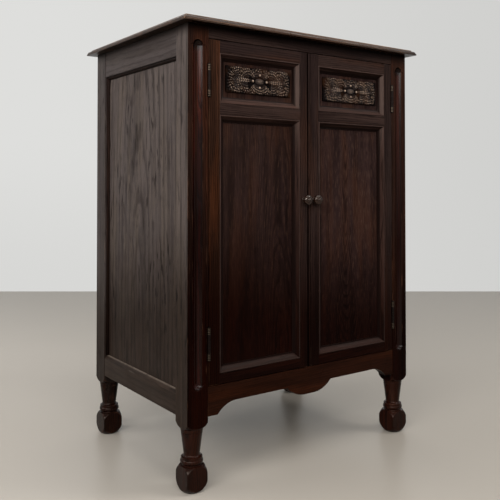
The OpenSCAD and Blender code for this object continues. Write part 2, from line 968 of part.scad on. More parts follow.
// A carved plaque: leaves spreading from an oval boss with four berries round it
module carving() {
    mid_x = (open_x0 + open_x1) / 2;
    mid_z = (upper_z0 + upper_z1) / 2 + carving_up;
    corner = carving_h * 0.04;
    boss_r = carving_h * 0.2;
    boss_sink = boss_r - relief;
    berry_r = carving_h * 0.055;
    berry_up = relief / 10;
    berry_x = 2 * boss_r;
    berry_z = carving_h * 0.31;
    leaf_w = carving_h * 0.18;
    leaf_root = berry_x + berry_r;
    long_leaf = carving_w / 2 - leaf_root - 3 * corner;
    fan = [[62, 0.42, 0.08], [40, 0.52, 0.22], [22, 0.62, 0.38]];
    color(carved) translate([mid_x, front_y + door_recess, mid_z]) rotate([90, 0, 0]) {
        linear_extrude(carving_t) {
            square([carving_w - 2 * corner, carving_h], center = true);
            square([carving_w, carving_h - 2 * corner], center = true);
            for (sx = [-1, 1]) for (sy = [-1, 1])
                translate([sx * (carving_w / 2 - corner), sy * (carving_h / 2 - corner)])
                    circle(r = corner);
        }
        translate([0, 0, carving_t]) intersection() {
            box([-carving_w, -carving_h, -carving_t / 2], [carving_w, carving_h, 2 * relief]);
            union() {
                for (sx = [-1, 1]) translate([sx * boss_r / 2, 0, -boss_sink]) sphere(r = boss_r);
                translate([0, 0, -boss_sink]) rotate([0, 90, 0])
                    cylinder(r = boss_r, h = boss_r, center = true);
                for (sx = [-1, 1]) scale([sx, 1, 1]) translate([leaf_root, 0, -over])
                    leaf(long_leaf, leaf_w, relief + over);
                for (sx = [-1, 1]) for (sy = [-1, 1]) scale([sx, sy, 1]) for (f = fan)
                    translate([carving_w * f[2], boss_r * 0.6, -over]) rotate(f[0])
                        leaf(carving_h * f[1] * 0.8, leaf_w * 0.8, relief * 0.78);
                for (sx = [-1, 1]) translate([sx * berry_x, 0, berry_up]) sphere(r = berry_r);
                for (sy = [-1, 1]) translate([0, sy * berry_z, berry_up]) sphere(r = berry_r);
            }
        }
    }
}

// A turned knob: rose, neck and rounded head, with its spigot in the stile
module knob() {
    neck_r = knob_rose_r * 0.62;
    rose_t = knob_l * 0.16;
    head_z = knob_l - knob_r * 0.71;
    rim_r = knob_r * 0.54;
    cap_r = knob_l * 0.26;
    color(oak) translate([-knob_x, front_y, knob_z]) rotate([90, 0, 0]) {
        translate([0, 0, -spigot_l]) cylinder(r = spigot_r, h = spigot_l + slack);
        rotate_extrude() intersection() {
            square([knob_r, knob_l]);
            union() {
                square([knob_rose_r - rose_t / 2, rose_t]);
                translate([knob_rose_r - rose_t / 2, rose_t / 2]) circle(d = rose_t);
                square([neck_r, head_z]);
                translate([knob_r - rim_r, head_z]) circle(r = rim_r);
                translate([0, head_z - rim_r]) square([knob_r - rim_r, 2 * rim_r]);
                translate([0, knob_l - cap_r]) circle(r = cap_r);
            }
        }
    }
}

module left_door_hinge_stile() { hinge_stile(); }
module left_door_meeting_stile() { meeting_stile(left_meet, 0); }
module left_door_top_rail() { top_rail(); }
module left_door_mid_rail() { mid_rail(); }
module left_door_low_rail() { low_rail(); }
module left_door_upper_panel() { upper_panel(); }
module left_door_lower_panel() { lower_panel(); }
module left_door_upper_moulding() { mould_frame(upper_z0, upper_z1); }
module left_door_lower_moulding() { mould_frame(lower_z0, lower_z1); }
module left_door_carving() { carving(); }
module left_door_knob() { knob(); }
module right_door_hinge_stile() { mirrored() hinge_stile(); }
module right_door_meeting_stile() { mirrored() meeting_stile(right_meet, edge_bead_r); }
module right_door_top_rail() { mirrored() top_rail(); }
module right_door_mid_rail() { mirrored() mid_rail(); }
module right_door_low_rail() { mirrored() low_rail(); }
module right_door_upper_panel() { mirrored() upper_panel(); }
module right_door_lower_panel() { mirrored() lower_panel(); }
module right_door_upper_moulding() { mirrored() mould_frame(upper_z0, upper_z1); }
module right_door_lower_moulding() { mirrored() mould_frame(lower_z0, lower_z1); }
module right_door_carving() { mirrored() carving(); }
module right_door_knob() { mirrored() knob(); }

// ---------------------------------------------------------------- hinges

knuckles = 5;
knuckle_l = hinge_l / knuckles;
knuckle_play = 0.1;

// One leaf of a hinge centred at height z: its plate from x0 to x1, with knuckles first, first + 2, ...
module hinge_leaf(z, x0, x1, first) {
    low = z - hinge_l / 2;
    plate_y0 = pin_y + knuckle_r + knuckle_gap;
    color(brass) difference() {
        union() {
            box([x0, plate_y0, low], [x1, front_y + leaf_w, low + hinge_l]);
            for (i = [first : 2 : knuckles - 1]) {
                k0 = low + i * knuckle_l + (i > 0 ? knuckle_play : 0);
                k1 = low + (i + 1) * knuckle_l - (i < knuckles - 1 ? knuckle_play : 0);
                translate([pin_x, pin_y, k0]) cylinder(r = knuckle_r, h = k1 - k0);
                box([x0, pin_y, k0], [x1, plate_y0 + over, k1]);
            }
        }
        translate([pin_x, pin_y, low - over])
            cylinder(r = pin_r + pin_gap, h = hinge_l + 2 * over);
    }
}

module frame_leaf(z) { hinge_leaf(z, -post_in - leaf_t, -post_in, 0); }
module door_leaf(z) { hinge_leaf(z, door_hx, door_hx + leaf_t, 1); }

module left_upper_frame_leaf() { frame_leaf(hinge_zs[0]); }
module left_lower_frame_leaf() { frame_leaf(hinge_zs[1]); }
module right_upper_frame_leaf() { mirrored() frame_leaf(hinge_zs[0]); }
module right_lower_frame_leaf() { mirrored() frame_leaf(hinge_zs[1]); }
module left_upper_door_leaf() { door_leaf(hinge_zs[0]); }
module left_lower_door_leaf() { door_leaf(hinge_zs[1]); }
module right_upper_door_leaf() { mirrored() door_leaf(hinge_zs[0]); }
module right_lower_door_leaf() { mirrored() door_leaf(hinge_zs[1]); }

// All four pins, each with a small head resting on the upper knuckle
module hinge_pins() {
    color(brass) for (s = [-1, 1]) for (z = hinge_zs)
        translate([s * pin_x, pin_y, z - hinge_l / 2]) {
            cylinder(r = pin_r, h = hinge_l);
            translate([0, 0, hinge_l]) cylinder(r = pin_head_r, h = pin_head_h);
        }
}

// ---------------------------------------------------------------- ball catches

// A brass barrel let into the upper edge of the door
module catch_barrel() {
    color(brass) translate([-catch_x, front_y + door_t / 2, door_z1 - barrel_l]) difference() {
        cylinder(r = barrel_r, h = barrel_l);
        translate([0, 0, barrel_end]) cylinder(r = ball_r + ball_play, h = barrel_l);
    }
}

// The sprung ball, standing just out of its barrel
module catch_ball() {
    color(brass) translate([-catch_x, front_y + door_t / 2, door_z1 + ball_out - ball_r])
        sphere(r = ball_r);
}

module left_catch_barrel() { catch_barrel(); }
module left_catch_ball() { catch_ball(); }
module right_catch_barrel() { mirrored() catch_barrel(); }
module right_catch_ball() { mirrored() catch_ball(); }

// The space that the strike plates fill in the underside of the front rail
module strike_space() {
    for (s = [-1, 1])
        box([s * catch_x - strike_l / 2, front_y + (door_t - strike_w) / 2, open_top - over],
            [s * catch_x + strike_l / 2, front_y + (door_t + strike_w) / 2, open_top + strike_t]);
}

module strike_plates() {
    color(brass) for (s = [-1, 1]) difference() {
        box([s * catch_x - strike_l / 2, front_y + (door_t - strike_w) / 2, open_top],
            [s * catch_x + strike_l / 2, front_y + (door_t + strike_w) / 2, open_top + strike_t]);
        translate([s * catch_x, front_y + door_t / 2, open_top - over])
            cylinder(r = strike_hole_r, h = strike_t + 2 * over);
    }
}

front_left_post();
front_right_post();
rear_left_post();
rear_right_post();
top_board();
front_top_rail();
front_apron();
left_top_rail();
left_low_rail();
left_panel();
right_top_rail();
right_low_rail();
right_panel();
side_beads();
rear_top_rail();
rear_low_rail();
back_panel();
bottom_board();
shelf();
shelf_battens();
lower_dividers();
upper_dividers();
top_blocks();
door_stops();
left_door_hinge_stile();
left_door_meeting_stile();
left_door_top_rail();
left_door_mid_rail();
left_door_low_rail();
left_door_upper_panel();
left_door_lower_panel();
left_door_upper_moulding();
left_door_lower_moulding();
left_door_carving();
left_door_knob();
right_door_hinge_stile();
right_door_meeting_stile();
right_door_top_rail();
right_door_mid_rail();
right_door_low_rail();
right_door_upper_panel();
right_door_lower_panel();
right_door_upper_moulding();
right_door_lower_moulding();
right_door_carving();
right_door_knob();
left_upper_frame_leaf();
left_lower_frame_leaf();
right_upper_frame_leaf();
right_lower_frame_leaf();
left_upper_door_leaf();
left_lower_door_leaf();
right_upper_door_leaf();
right_lower_door_leaf();
hinge_pins();
left_catch_barrel();
left_catch_ball();
right_catch_barrel();
right_catch_ball();
strike_plates();
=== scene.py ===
"""Dressed model of an oak gramophone cabinet: eased timber, carved plaques, aged brass, studio."""

import logging
import math
import random
from dataclasses import dataclass, field, replace
from enum import Enum
from functools import reduce
import bmesh
import bpy
import numpy as np
from mathutils import Matrix, Vector


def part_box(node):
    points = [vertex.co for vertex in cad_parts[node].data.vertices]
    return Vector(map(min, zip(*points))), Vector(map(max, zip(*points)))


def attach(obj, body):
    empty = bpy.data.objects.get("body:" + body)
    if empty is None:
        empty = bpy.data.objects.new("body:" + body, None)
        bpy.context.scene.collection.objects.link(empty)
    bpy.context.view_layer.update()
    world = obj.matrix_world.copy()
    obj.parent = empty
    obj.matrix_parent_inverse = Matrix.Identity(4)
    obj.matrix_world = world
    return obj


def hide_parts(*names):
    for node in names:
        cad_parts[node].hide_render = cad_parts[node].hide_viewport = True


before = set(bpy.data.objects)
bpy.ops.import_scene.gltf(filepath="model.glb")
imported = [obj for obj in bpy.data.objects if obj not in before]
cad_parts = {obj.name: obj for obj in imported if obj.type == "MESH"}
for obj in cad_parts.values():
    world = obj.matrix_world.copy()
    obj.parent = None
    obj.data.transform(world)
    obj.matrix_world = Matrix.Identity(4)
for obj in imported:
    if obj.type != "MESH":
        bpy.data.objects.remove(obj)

LOG = logging.getLogger("cabinet")
MM = 0.001
FRONT = -213 * MM  # Y of the front faces of the posts and the doors
RAIL_TOP = 890.5 * MM  # Z of the underside of the top board
LEG_TOP = 162 * MM  # Z where the turned legs end and the flutes may begin

Colour = tuple[float, float, float, float]
Point = tuple[float, float, float]
Pair = tuple[float, float]
Grid = np.ndarray
Piece = bpy.types.Object
Socket = bpy.types.NodeSocket
Spots = list[tuple[Vector, Vector]]


def tone(red: int, green: int, blue: int) -> Colour:
    """Turn a colour as seen on a screen into the linear one that a shader takes.

    Args:
        red: Red from 0 to 255.
        green: Green from 0 to 255.
        blue: Blue from 0 to 255.

    Returns:
        The linear colour with full alpha.
    """
    parts = [c / 255 for c in (red, green, blue)]
    linear = [c / 12.92 if c <= 0.04045 else ((c + 0.055) / 1.055) ** 2.4 for c in parts]
    return (linear[0], linear[1], linear[2], 1.0)


class Side(Enum):
    """The two sides of the cabinet, by the sign of X."""

    LEFT = -1
    RIGHT = 1

    @property
    def word(self) -> str:
        """Give the word that this side's node names start with."""
        return self.name.lower()


class Grain(Enum):
    """The way the grain of a board runs, as the turn that brings it upright."""

    ALONG_X = (0.0, -math.pi / 2, 0.0)
    ALONG_Y = (math.pi / 2, 0.0, 0.0)
    ALONG_Z = (0.0, 0.0, 0.0)


class Figure(Enum):
    """How a board was sawn: how far aside and how deep the heart lies, and its lean."""

    STRAIGHT = (0.16, 0.07, 0.015)
    CATHEDRAL = (0.012, 0.022, 0.10)
    RIFT = (0.07, 0.05, 0.03)


class Face(Enum):
    """The axis that a board's broad face looks along."""

    X = 0
    Y = 1
    Z = 2


@dataclass(frozen=True)
class Cut:
    """How a board was cut: its grain, its broad face, its middle and its figure."""

    grain: Grain
    face: Face
    centre: Point
    figure: Figure = Figure.STRAIGHT


@dataclass(frozen=True)
class Patches:
    """Soft patches on a board.

    They are shorter along the grain where `along` is larger, there are about `scale` of them
    to the metre, and the noise from `low` to `high` shows as a share from `least` to `most`.
    """

    along: float
    scale: float
    detail: float
    low: float
    high: float
    least: float = 0.0
    most: float = 1.0


CLOUDS = Patches(0.35, 6, 3, 0.35, 0.68)
VEINS = Patches(0.05, 70, 4, 0.42, 0.66)
GLOW = Patches(0.12, 26, 3, 0.46, 0.66)
FLECKS = Patches(0.2, 120, 4, 0.53, 0.66)
FLECK_FIELDS = Patches(0.35, 17, 2, 0.38, 0.62, 0.15)
DASHES = Patches(0.16, 300, 2, 0.5, 0.64)
PORES = Patches(0.045, 900, 2, 0.56, 0.68)
RING_GAPS = Patches(0.08, 150, 3, 0.32, 0.6, 0.25)
RUB_GAPS = Patches(1.0, 60, 4, 0.3, 0.6, 0.45)
RUBS = Patches(0.45, 38, 5, 0.66, 0.9)
HAZE = Patches(1.0, 14, 2, 0.3, 0.7, -0.06, 0.06)


# ---------------------------------------------------------------- shaders


class Tree:
    """A node tree, put together one node at a time."""

    def __init__(self, tree: bpy.types.NodeTree) -> None:
        """Take over a node tree and empty it."""
        self.tree = tree
        tree.nodes.clear()

    def node(self, kind: str, *values: object, **settings: object) -> bpy.types.Node:
        """Add a node.

        Args:
            kind: Type of the node.
            values: Sockets, numbers or colours for its first inputs, in order.
            settings: Properties of the node.

        Returns:
            The node.
        """
        node = self.tree.nodes.new(kind)
        for key, setting in settings.items():
            setattr(node, key, setting)
        for socket, value in zip(node.inputs, values):
            self.feed(socket, value)
        return node

    def feed(self, socket: Socket, value: object) -> None:
        """Link an input to a socket, or set it where the value is a number or colour.

        Args:
            socket: The input to feed.
            value: A socket, a number or a sequence of numbers.
        """
        if isinstance(value, Socket):
            self.tree.links.new(value, socket)
        else:
            socket.default_value = value

    def math(self, operation: str, first: object, second: object = 0.0) -> Socket:
        """Give the result of a Math node."""
        return self.node("ShaderNodeMath", first, second, operation=operation).outputs[0]

    def product(self, *factors: object) -> Socket:
        """Multiply sockets and numbers."""
        return reduce(lambda one, two: self.math("MULTIPLY", one, two), factors)

    def total(self, *parts: object) -> Socket:
        """Add up sockets and numbers."""
        return reduce(lambda one, two: self.math("ADD", one, two), parts)

    def vector(self, operation: str, first: object, second: object) -> Socket:
        """Give the result of a Vector Math node."""
        return self.node("ShaderNodeVectorMath", first, second, operation=operation).outputs[0]

    def split(self, vector: Socket) -> list[Socket]:
        """Give the X, Y and Z of a vector."""
        return list(self.node("ShaderNodeSeparateXYZ", vector).outputs)

    def noise(self, place: Socket, scale: float, detail: float = 2.0) -> Socket:
        """Give the factor of a Noise Texture."""
        return self.node("ShaderNodeTexNoise", place, 0.0, scale, detail).outputs[0]

    def band(self, value: Socket, low: float, high: float, least: float = 0.0,
             most: float = 1.0) -> Socket:
        """Map a range of a value smoothly to another range, with clamped ends.

        Args:
            value: The socket to map.
            low: Start of the range.
            high: End of the range.
            least: Result at the start.
            most: Result at the end.

        Returns:
            The result's socket.
        """
        return self.node("ShaderNodeMapRange", value, low, high, least, most,
                         interpolation_type="SMOOTHSTEP").outputs[0]

    def blend(self, factor: object, first: object, second: object, mode: str = "MIX") -> Socket:
        """Blend two colours.

        Args:
            factor: How much of the second colour shows.
            first: First colour or socket.
            second: Second colour or socket.
            mode: Blend mode.

        Returns:
            The colour's socket.
        """
        node = self.node("ShaderNodeMix", factor, data_type="RGBA", blend_type=mode)
        self.feed(node.inputs[6], first)
        self.feed(node.inputs[7], second)
        return node.outputs[2]

    def lay(self, colour: Socket, over: object, *shares: object) -> Socket:
        """Lay one colour over another, as thickly as the product of some shares."""
        return self.blend(self.product(*shares), colour, over)

    def mix(self, factor: Socket, first: Socket, second: Socket) -> Socket:
        """Mix two shaders."""
        return self.node("ShaderNodeMixShader", factor, first, second).outputs[0]

    def seen(self) -> Socket:
        """Tell rays that show a thing to the eye, a mirror or a pane from those that light.

        Returns:
            The socket, 1 for such rays.
        """
        path = self.node("ShaderNodeLightPath").outputs
        direct = self.math("MAXIMUM", path["Is Camera Ray"], path["Is Glossy Ray"])
        return self.math("MAXIMUM", direct, path["Is Transmission Ray"])


class Shader(Tree):
    """A material with one surface shader."""

    def __init__(self, name: str) -> None:
        """Start a material with its coordinates, its surface and its output.

        Args:
            name: Name of the material.
        """
        self.material = bpy.data.materials.new(name)
        self.material.use_nodes = True
        super().__init__(self.material.node_tree)
        self.place = self.node("ShaderNodeTexCoord").outputs["Object"]
        self.surface = self.node("ShaderNodeBsdfPrincipled")
        self.output = self.node("ShaderNodeOutputMaterial", self.surface.outputs[0])

    def bump(self, height: Socket, distance: float, strength: float) -> None:
        """Give the surface a bump.

        Args:
            height: The height's socket.
            distance: Height of the bump in metres.
            strength: How strongly it shows.
        """
        node = self.node("ShaderNodeBump")
        for key, value in (("Height", height), ("Distance", distance), ("Strength", strength)):
            self.feed(node.inputs[key], value)
        self.set(Normal=node.outputs[0])

    def set(self, **values: object) -> None:
        """Feed inputs of the surface shader, named with _ for each space."""
        for key, value in values.items():
            self.feed(self.surface.inputs[key.replace("_", " ")], value)


@dataclass(frozen=True)
class OakFinish:
    """Stained, polished oak: colours, rings, pores, gloss, wear, dust, painted shade and light.

    The first five fields are the colours of the wood, its pale clouds, its dark lines, its rubbed
    and painted-lit places and its warm blush. Shares run from 0 to 1, and heights are in metres.
    """

    name: str
    base: Colour
    pale: Colour
    line: Colour
    worn: Colour
    blush: Colour
    ring: float = 0.0042  # width of a growth ring
    line_depth: float = 0.75  # share of the ring lines
    streak: float = 0.5
    fleck: float = 0.0
    blush_share: float = 0.5
    gloss: float = 0.30  # roughness of the polish
    polish: float = 0.02  # strength of its shine
    low: Colour = (0.25, 0.12, 0.09, 1.0)  # painted shade near the floor, by multiplying
    low_share: float = 1.0
    low_foot: float = 0.22
    low_top: float = 0.53
    low_lean: float = 0.2
    grime: float = 0.85  # painted shade under the overhang
    grime_foot: float = 0.864
    grime_top: float = 0.885
    dash: float = 0.0  # pale dashes between the rings
    foot: float = 0.0  # painted shade at the foot of a moulding
    edge: float = 0.0  # height of an upper edge: rubbed on the top, painted highlight on low rails
    edge_share: float = 0.8
    rim: float = 0.0  # painted shade at the rim of a flute
    varnish: Colour = (1.0, 0.86, 0.76, 1.0)  # tint of the shine

    def material(self, cut: Cut, seed: int, wear: float = 0.0) -> bpy.types.Material:
        """Draw the finish on one board."""
        return OakShader(self, cut, seed, wear).material


class OakShader(Shader):
    """Oak drawn on one board, with what makes it differ from the next."""

    SLOW = 0.22  # stretch of the waves in the rings
    SWAY, WAVER = 0.07, 0.008  # wander of the heart and of the rings, in metres
    RIPPLE = 0.6  # unevenness of their spacing, in rings
    SPREAD = (0.7, 1.3)  # how far the place of the heart differs from board to board
    RISE, FALL = (0.0, 0.12), (0.16, 0.62)  # where a ring's dark line starts and fades
    PORE_SHARE = 0.55
    RELIEF, RELIEF_SHARE = 0.12 * MM, 0.55
    WEAR_REACH = 0.3  # how much further the rubbed patches of fully worn wood spread
    RIM = (FRONT + 3.8 * MM, FRONT + 7 * MM)  # Y where the painted shade at a flute's rim fades
    FLUTE_FOOT = (LEG_TOP, LEG_TOP + 18 * MM)  # Z where that painted shade starts
    CREST = (FRONT + 0.1 * MM, FRONT + 1.2 * MM)  # Y where a moulding's rubbed crest fades
    FOOT = (FRONT + 5.2 * MM, FRONT + 8.5 * MM)  # Y where the painted shade at its foot starts
    UPWARD, LEFTWARD = (0.25, 0.6), (-0.6, -0.3)  # up: dust, painted sheen; left: painted highlight
    HAND_HEIGHT = (0.62, 0.78)  # Z where the painted highlight on left bevels starts
    EDGE_RISE = (-3.6 * MM, -1.6 * MM)  # where a lightened edge starts, from its top
    EDGE_FALL = (-0.9 * MM, -0.2 * MM)  # and where it ends

    def __init__(self, finish: OakFinish, cut: Cut, seed: int, wear: float) -> None:
        """Draw the whole material.

        Args:
            finish: The finish of the wood.
            cut: How the board was cut.
            seed: Seed of what differs from board to board.
            wear: Share of the polish that is rubbed away, from 0 to 1.
        """
        super().__init__(f"{finish.name}_{seed}" + ("_worn" if wear else ""))
        self.finish = finish
        self.cut = cut
        chance = random.Random(seed)
        moved = self.vector("SUBTRACT", self.place, cut.centre)
        self.board = self.node("ShaderNodeMapping", moved, (0, 0, 0), cut.grain.value).outputs[0]
        offset = tuple(chance.uniform(-5, 5) for _ in range(3))
        self.loose = self.vector("ADD", self.board, offset)
        self.rings = self._rings(chance)
        self.pores = self.patches(PORES)
        self.x, self.y, self.z = self.split(self.place)
        colour = self._dirt(self._wood())
        if finish.edge:
            colour = self._rubbed(colour)
        if finish.foot:
            colour = self._moulded(colour)
        rough = self.total(self.patches(HAZE), finish.gloss)
        if wear:
            reach = self.WEAR_REACH * wear
            spread = replace(RUBS, low=RUBS.low - reach, high=RUBS.high - reach)
            rub = self.product(self.patches(spread), 0.2 + 0.7 * wear)
            colour = self.lay(colour, finish.worn, rub)
            rough = self.total(rough, self.product(rub, 0.1))
        height = self.math("SUBTRACT", self.product(self.rings, -0.4), self.pores)
        self.bump(height, self.RELIEF, self.RELIEF_SHARE)
        self.set(Base_Color=colour, Roughness=rough, Specular_IOR_Level=finish.polish,
                 Specular_Tint=finish.varnish)

    def stretch(self, along: float) -> Socket:
        """Give the board's coordinates, drawn out along the grain."""
        return self.vector("MULTIPLY", self.loose, (1.0, 1.0, along))

    def patches(self, kind: Patches) -> Socket:
        """Spread soft patches over the board."""
        noise = self.noise(self.stretch(kind.along), kind.scale, kind.detail)
        return self.band(noise, kind.low, kind.high, kind.least, kind.most)

    def _rings(self, chance: random.Random) -> Socket:
        """Draw the dark lines of the growth rings, as the saw left them.

        Args:
            chance: Source of what differs.

        Returns:
            The strength of the lines, from 0 to 1.
        """
        aside, depth, lean = self.cut.figure.value
        parts = self.split(self.board)
        flat = self.cut.grain is Grain.ALONG_X and self.cut.face is Face.Z
        deep, across = (0, 1) if flat or self.cut.face is Face.X else (1, 0)
        slow = self.stretch(self.SLOW)
        sway, fine = (self.math("SUBTRACT", self.noise(slow, scale, 3), 0.5) for scale in (7, 42))
        along = self.product(parts[2], lean * chance.choice((-1, 1)))
        deep_at = self.total(parts[deep], along, self.product(sway, self.SWAY),
                             depth * chance.uniform(*self.SPREAD))
        across_at = self.total(parts[across],
                               aside * chance.choice((-1, 1)) * chance.uniform(*self.SPREAD),
                               self.product(fine, self.WAVER))
        square = self.total(self.product(across_at, across_at), self.product(deep_at, deep_at))
        turn = self.math("DIVIDE", self.math("SQRT", square), self.finish.ring)
        turn = self.math("FRACT", self.total(turn, self.product(fine, self.RIPPLE)))
        return self.product(self.band(turn, *self.RISE), self.band(turn, *self.FALL, 1.0, 0.0),
                            self.patches(RING_GAPS))

    def _wood(self) -> Socket:
        """Mix the colours of the stained wood.

        Returns:
            The colour's socket.
        """
        oak = self.finish
        layers = [
            (oak.line, self.patches(VEINS), oak.streak),
            (oak.blush, self.patches(GLOW), oak.blush_share),
            (oak.line, self.rings, oak.line_depth),
        ]
        if oak.fleck:
            layers.append((oak.line, self.patches(FLECKS), self.patches(FLECK_FIELDS), oak.fleck))
        if oak.dash:
            between = self.band(self.rings, 0.1, 0.7, 1.0, 0.15)
            layers.append((oak.worn, self.patches(DASHES), between, oak.dash))
        layers.append((oak.line, self.pores, self.PORE_SHARE))
        colour = self.blend(self.patches(CLOUDS), oak.base, oak.pale)
        for over, *shares in layers:
            colour = self.lay(colour, over, *shares)
        return colour

    def _dirt(self, colour: Socket) -> Socket:
        """Paint shade on the wood near the floor, under the overhang and at the rim of a flute.

        Args:
            colour: Colour of the wood.

        Returns:
            The colour's socket.
        """
        oak = self.finish
        # Painted shade near the floor, reaching higher towards the left and the front.
        level = self.total(self.z, self.product(self.total(self.x, self.y), oak.low_lean))
        low = self.band(level, oak.low_foot, oak.low_top, oak.low_share, 0.0)
        colour = self.blend(low, colour, oak.low, "MULTIPLY")
        # Painted shadow under the overhang of the top board.
        under = self.band(self.z, oak.grime_foot, oak.grime_top, 0.0, oak.grime)
        colour = self.lay(colour, oak.line, under)
        # Painted shade at the rim of a flute.
        if oak.rim:
            colour = self.lay(colour, oak.line, self.band(self.y, *self.RIM, oak.rim, 0.0),
                              self.band(self.z, *self.FLUTE_FOOT))
        return colour

    def _rubbed(self, colour: Socket) -> Socket:
        """Lighten an upper edge: rubbed on the top, a painted highlight on the low rails.

        Args:
            colour: Colour of the board.

        Returns:
            The colour's socket.
        """
        oak = self.finish
        above = self.math("SUBTRACT", self.z, oak.edge)
        return self.lay(colour, oak.worn, self.band(above, *self.EDGE_RISE),
                        self.band(above, *self.EDGE_FALL, 1.0, 0.0), self.patches(RUB_GAPS),
                        oak.edge_share)

    def _moulded(self, colour: Socket) -> Socket:
        """Lay dust, wear and painted light and shade on a moulding.

        Upward bevels get dust with a painted sheen, high left-facing bevels a painted highlight,
        the crest is rubbed, and the foot is painted shade, weaker on upward faces.

        Args:
            colour: Colour of the moulding.

        Returns:
            The colour's socket.
        """
        oak = self.finish
        left, _, up = self.split(self.node("ShaderNodeTexCoord").outputs["Normal"])
        # Dust with painted sheen, painted highlight, rubbed crest, painted shade at the foot.
        for over, *shares in (
            (oak.worn, self.band(up, *self.UPWARD, 0.0, 0.08)),
            (oak.worn, self.band(left, *self.LEFTWARD, 0.3, 0.0),
             self.band(self.z, *self.HAND_HEIGHT)),
            (oak.worn, self.band(self.y, *self.CREST, 0.1, 0.0)),
            (oak.line, self.band(self.y, *self.FOOT, 0.0, oak.foot),
             self.band(up, *self.UPWARD, 1.0, 0.25)),
        ):
            colour = self.lay(colour, over, *shares)
        return colour


@dataclass(frozen=True)
class BrassFinish:
    """Brass darkened by age, rubbed bright in places."""

    name: str
    bright: Colour
    dull: Colour
    rough: float = 0.42
    # Pitch of the bright rings painted as highlights, and their reach from each end.
    ring_pitch: float = 3.2 * MM
    ringed: float = 12.8 * MM

    def material(self, shine: float = 0.5, ends: Pair | None = None) -> bpy.types.Material:
        """Build the material.

        Args:
            shine: Share of the surface that is rubbed bright.
            ends: Heights of the two ends of a barrel with painted highlight rings, if it has them.

        Returns:
            The finished material.
        """
        shader = Shader(f"{self.name}_{round(shine * 100)}")
        patch = shader.band(shader.noise(shader.place, 130, 5), 0.7 - 0.4 * shine,
                            0.95 - 0.4 * shine)
        colour = shader.blend(patch, self.dull, self.bright)
        if ends:
            colour = self._rings(shader, colour, ends)
        speck = shader.noise(shader.place, 900, 3)
        rough = shader.total(shader.band(speck, 0.3, 0.7, -0.08, 0.12), self.rough)
        shader.bump(speck, 0.06 * MM, 0.4)
        shader.set(Base_Color=colour, Roughness=rough, Metallic=0.9)
        return shader.material

    def _rings(self, shader: Shader, colour: Socket, ends: Pair) -> Socket:
        """Paint bright rings, as highlights, on the front of both ends of a hinge's barrel.

        Args:
            shader: The tree to build in.
            colour: Colour of the metal.
            ends: Heights of the two ends.

        Returns:
            The colour's socket.
        """
        _, y, z = shader.split(shader.place)
        middle, half = (ends[0] + ends[1]) / 2, (ends[1] - ends[0]) / 2
        away = shader.math("ABSOLUTE", shader.math("SUBTRACT", z, middle))
        wave = shader.math("SINE", shader.product(away, 2 * math.pi / self.ring_pitch))
        inner = half - self.ringed
        return shader.lay(colour, self.bright, shader.band(wave, 0.5, 0.95),
                          shader.band(away, inner, inner + 1 * MM),
                          shader.band(y, FRONT + 0.8 * MM, FRONT + 1.6 * MM, 1.0, 0.0))


@dataclass(frozen=True)
class CarvedFinish:
    """Carved oak: near-black hollows as painted shade, pale high places as painted highlights."""

    name: str
    hollow: Colour
    middle: Colour
    high: Colour
    tip: Colour
    warm: Colour

    def material(self, back: float, front: float, polish: float) -> bpy.types.Material:
        """Build the material, painted dark and light by how far the carving stands forward.

        Args:
            back: Y of the ground of the carving.
            front: Y of its highest places.
            polish: Specular level of the wax on it.

        Returns:
            The finished material.
        """
        shader = Shader(f"{self.name}_{round(polish * 100)}")
        y = shader.split(shader.place)[1]
        fine = shader.noise(shader.place, 420, 4)
        lift = shader.total(y, shader.product(shader.math("SUBTRACT", fine, 0.5), 2.2 * MM))

        def rise(share: float) -> float:
            """Give the Y of a share of the way up from the ground."""
            return (1 - share) * back + share * front

        # Painted shade in the hollows, painted highlights on the high places and tips.
        colour = shader.blend(shader.band(lift, back, rise(0.45)), self.hollow, self.middle)
        warmth = shader.band(shader.noise(shader.place, 38, 2), 0.45, 0.65)
        for over, *shares in (
            (self.high, shader.band(lift, rise(0.55), front)),
            (self.tip, shader.band(y, rise(0.8), front, 0.0, 0.5)),
            (self.warm, warmth, 0.3),
        ):
            colour = shader.lay(colour, over, *shares)
        shader.bump(fine, 0.12 * MM, 0.5)
        shader.set(Base_Color=colour, Roughness=shader.band(lift, back, front, 0.6, 0.24),
                   Specular_IOR_Level=polish)
        return shader.material


# ---------------------------------------------------------------- finishes


DARK_OAK = OakFinish("dark_oak", tone(46, 34, 31), tone(60, 45, 40), tone(15, 8, 7),
                     tone(104, 80, 66), tone(74, 46, 33), blush_share=0.35)
WARM_OAK = OakFinish("warm_oak", tone(48, 30, 21), tone(62, 39, 28), tone(13, 5, 3),
                     tone(108, 74, 52), tone(88, 47, 25), blush_share=0.45)
POST_OAK = OakFinish("post_oak", tone(38, 23, 18), tone(50, 31, 24), tone(13, 5, 3),
                     tone(98, 66, 48), tone(72, 37, 22), blush_share=0.35)
# Its shade under the overhang paints the flute's top end dark, a painted shadow.
FLUTE_OAK = OakFinish("flute_oak", tone(56, 22, 14), tone(69, 29, 19), tone(15, 5, 3),
                      tone(108, 72, 52), tone(86, 35, 20), gloss=0.15, polish=0.12,
                      low_foot=0.42, low_top=0.76, rim=0.85, varnish=(1.0, 0.95, 0.93, 1.0),
                      grime=0.95, grime_foot=0.836, grime_top=0.85)
LEG_OAK = OakFinish("leg_oak", tone(24, 7, 4), tone(35, 12, 6), tone(7, 3, 2),
                    tone(78, 50, 38), tone(48, 18, 8), gloss=0.12, polish=0.1, low_share=0.1,
                    varnish=(1.0, 0.8, 0.68, 1.0))
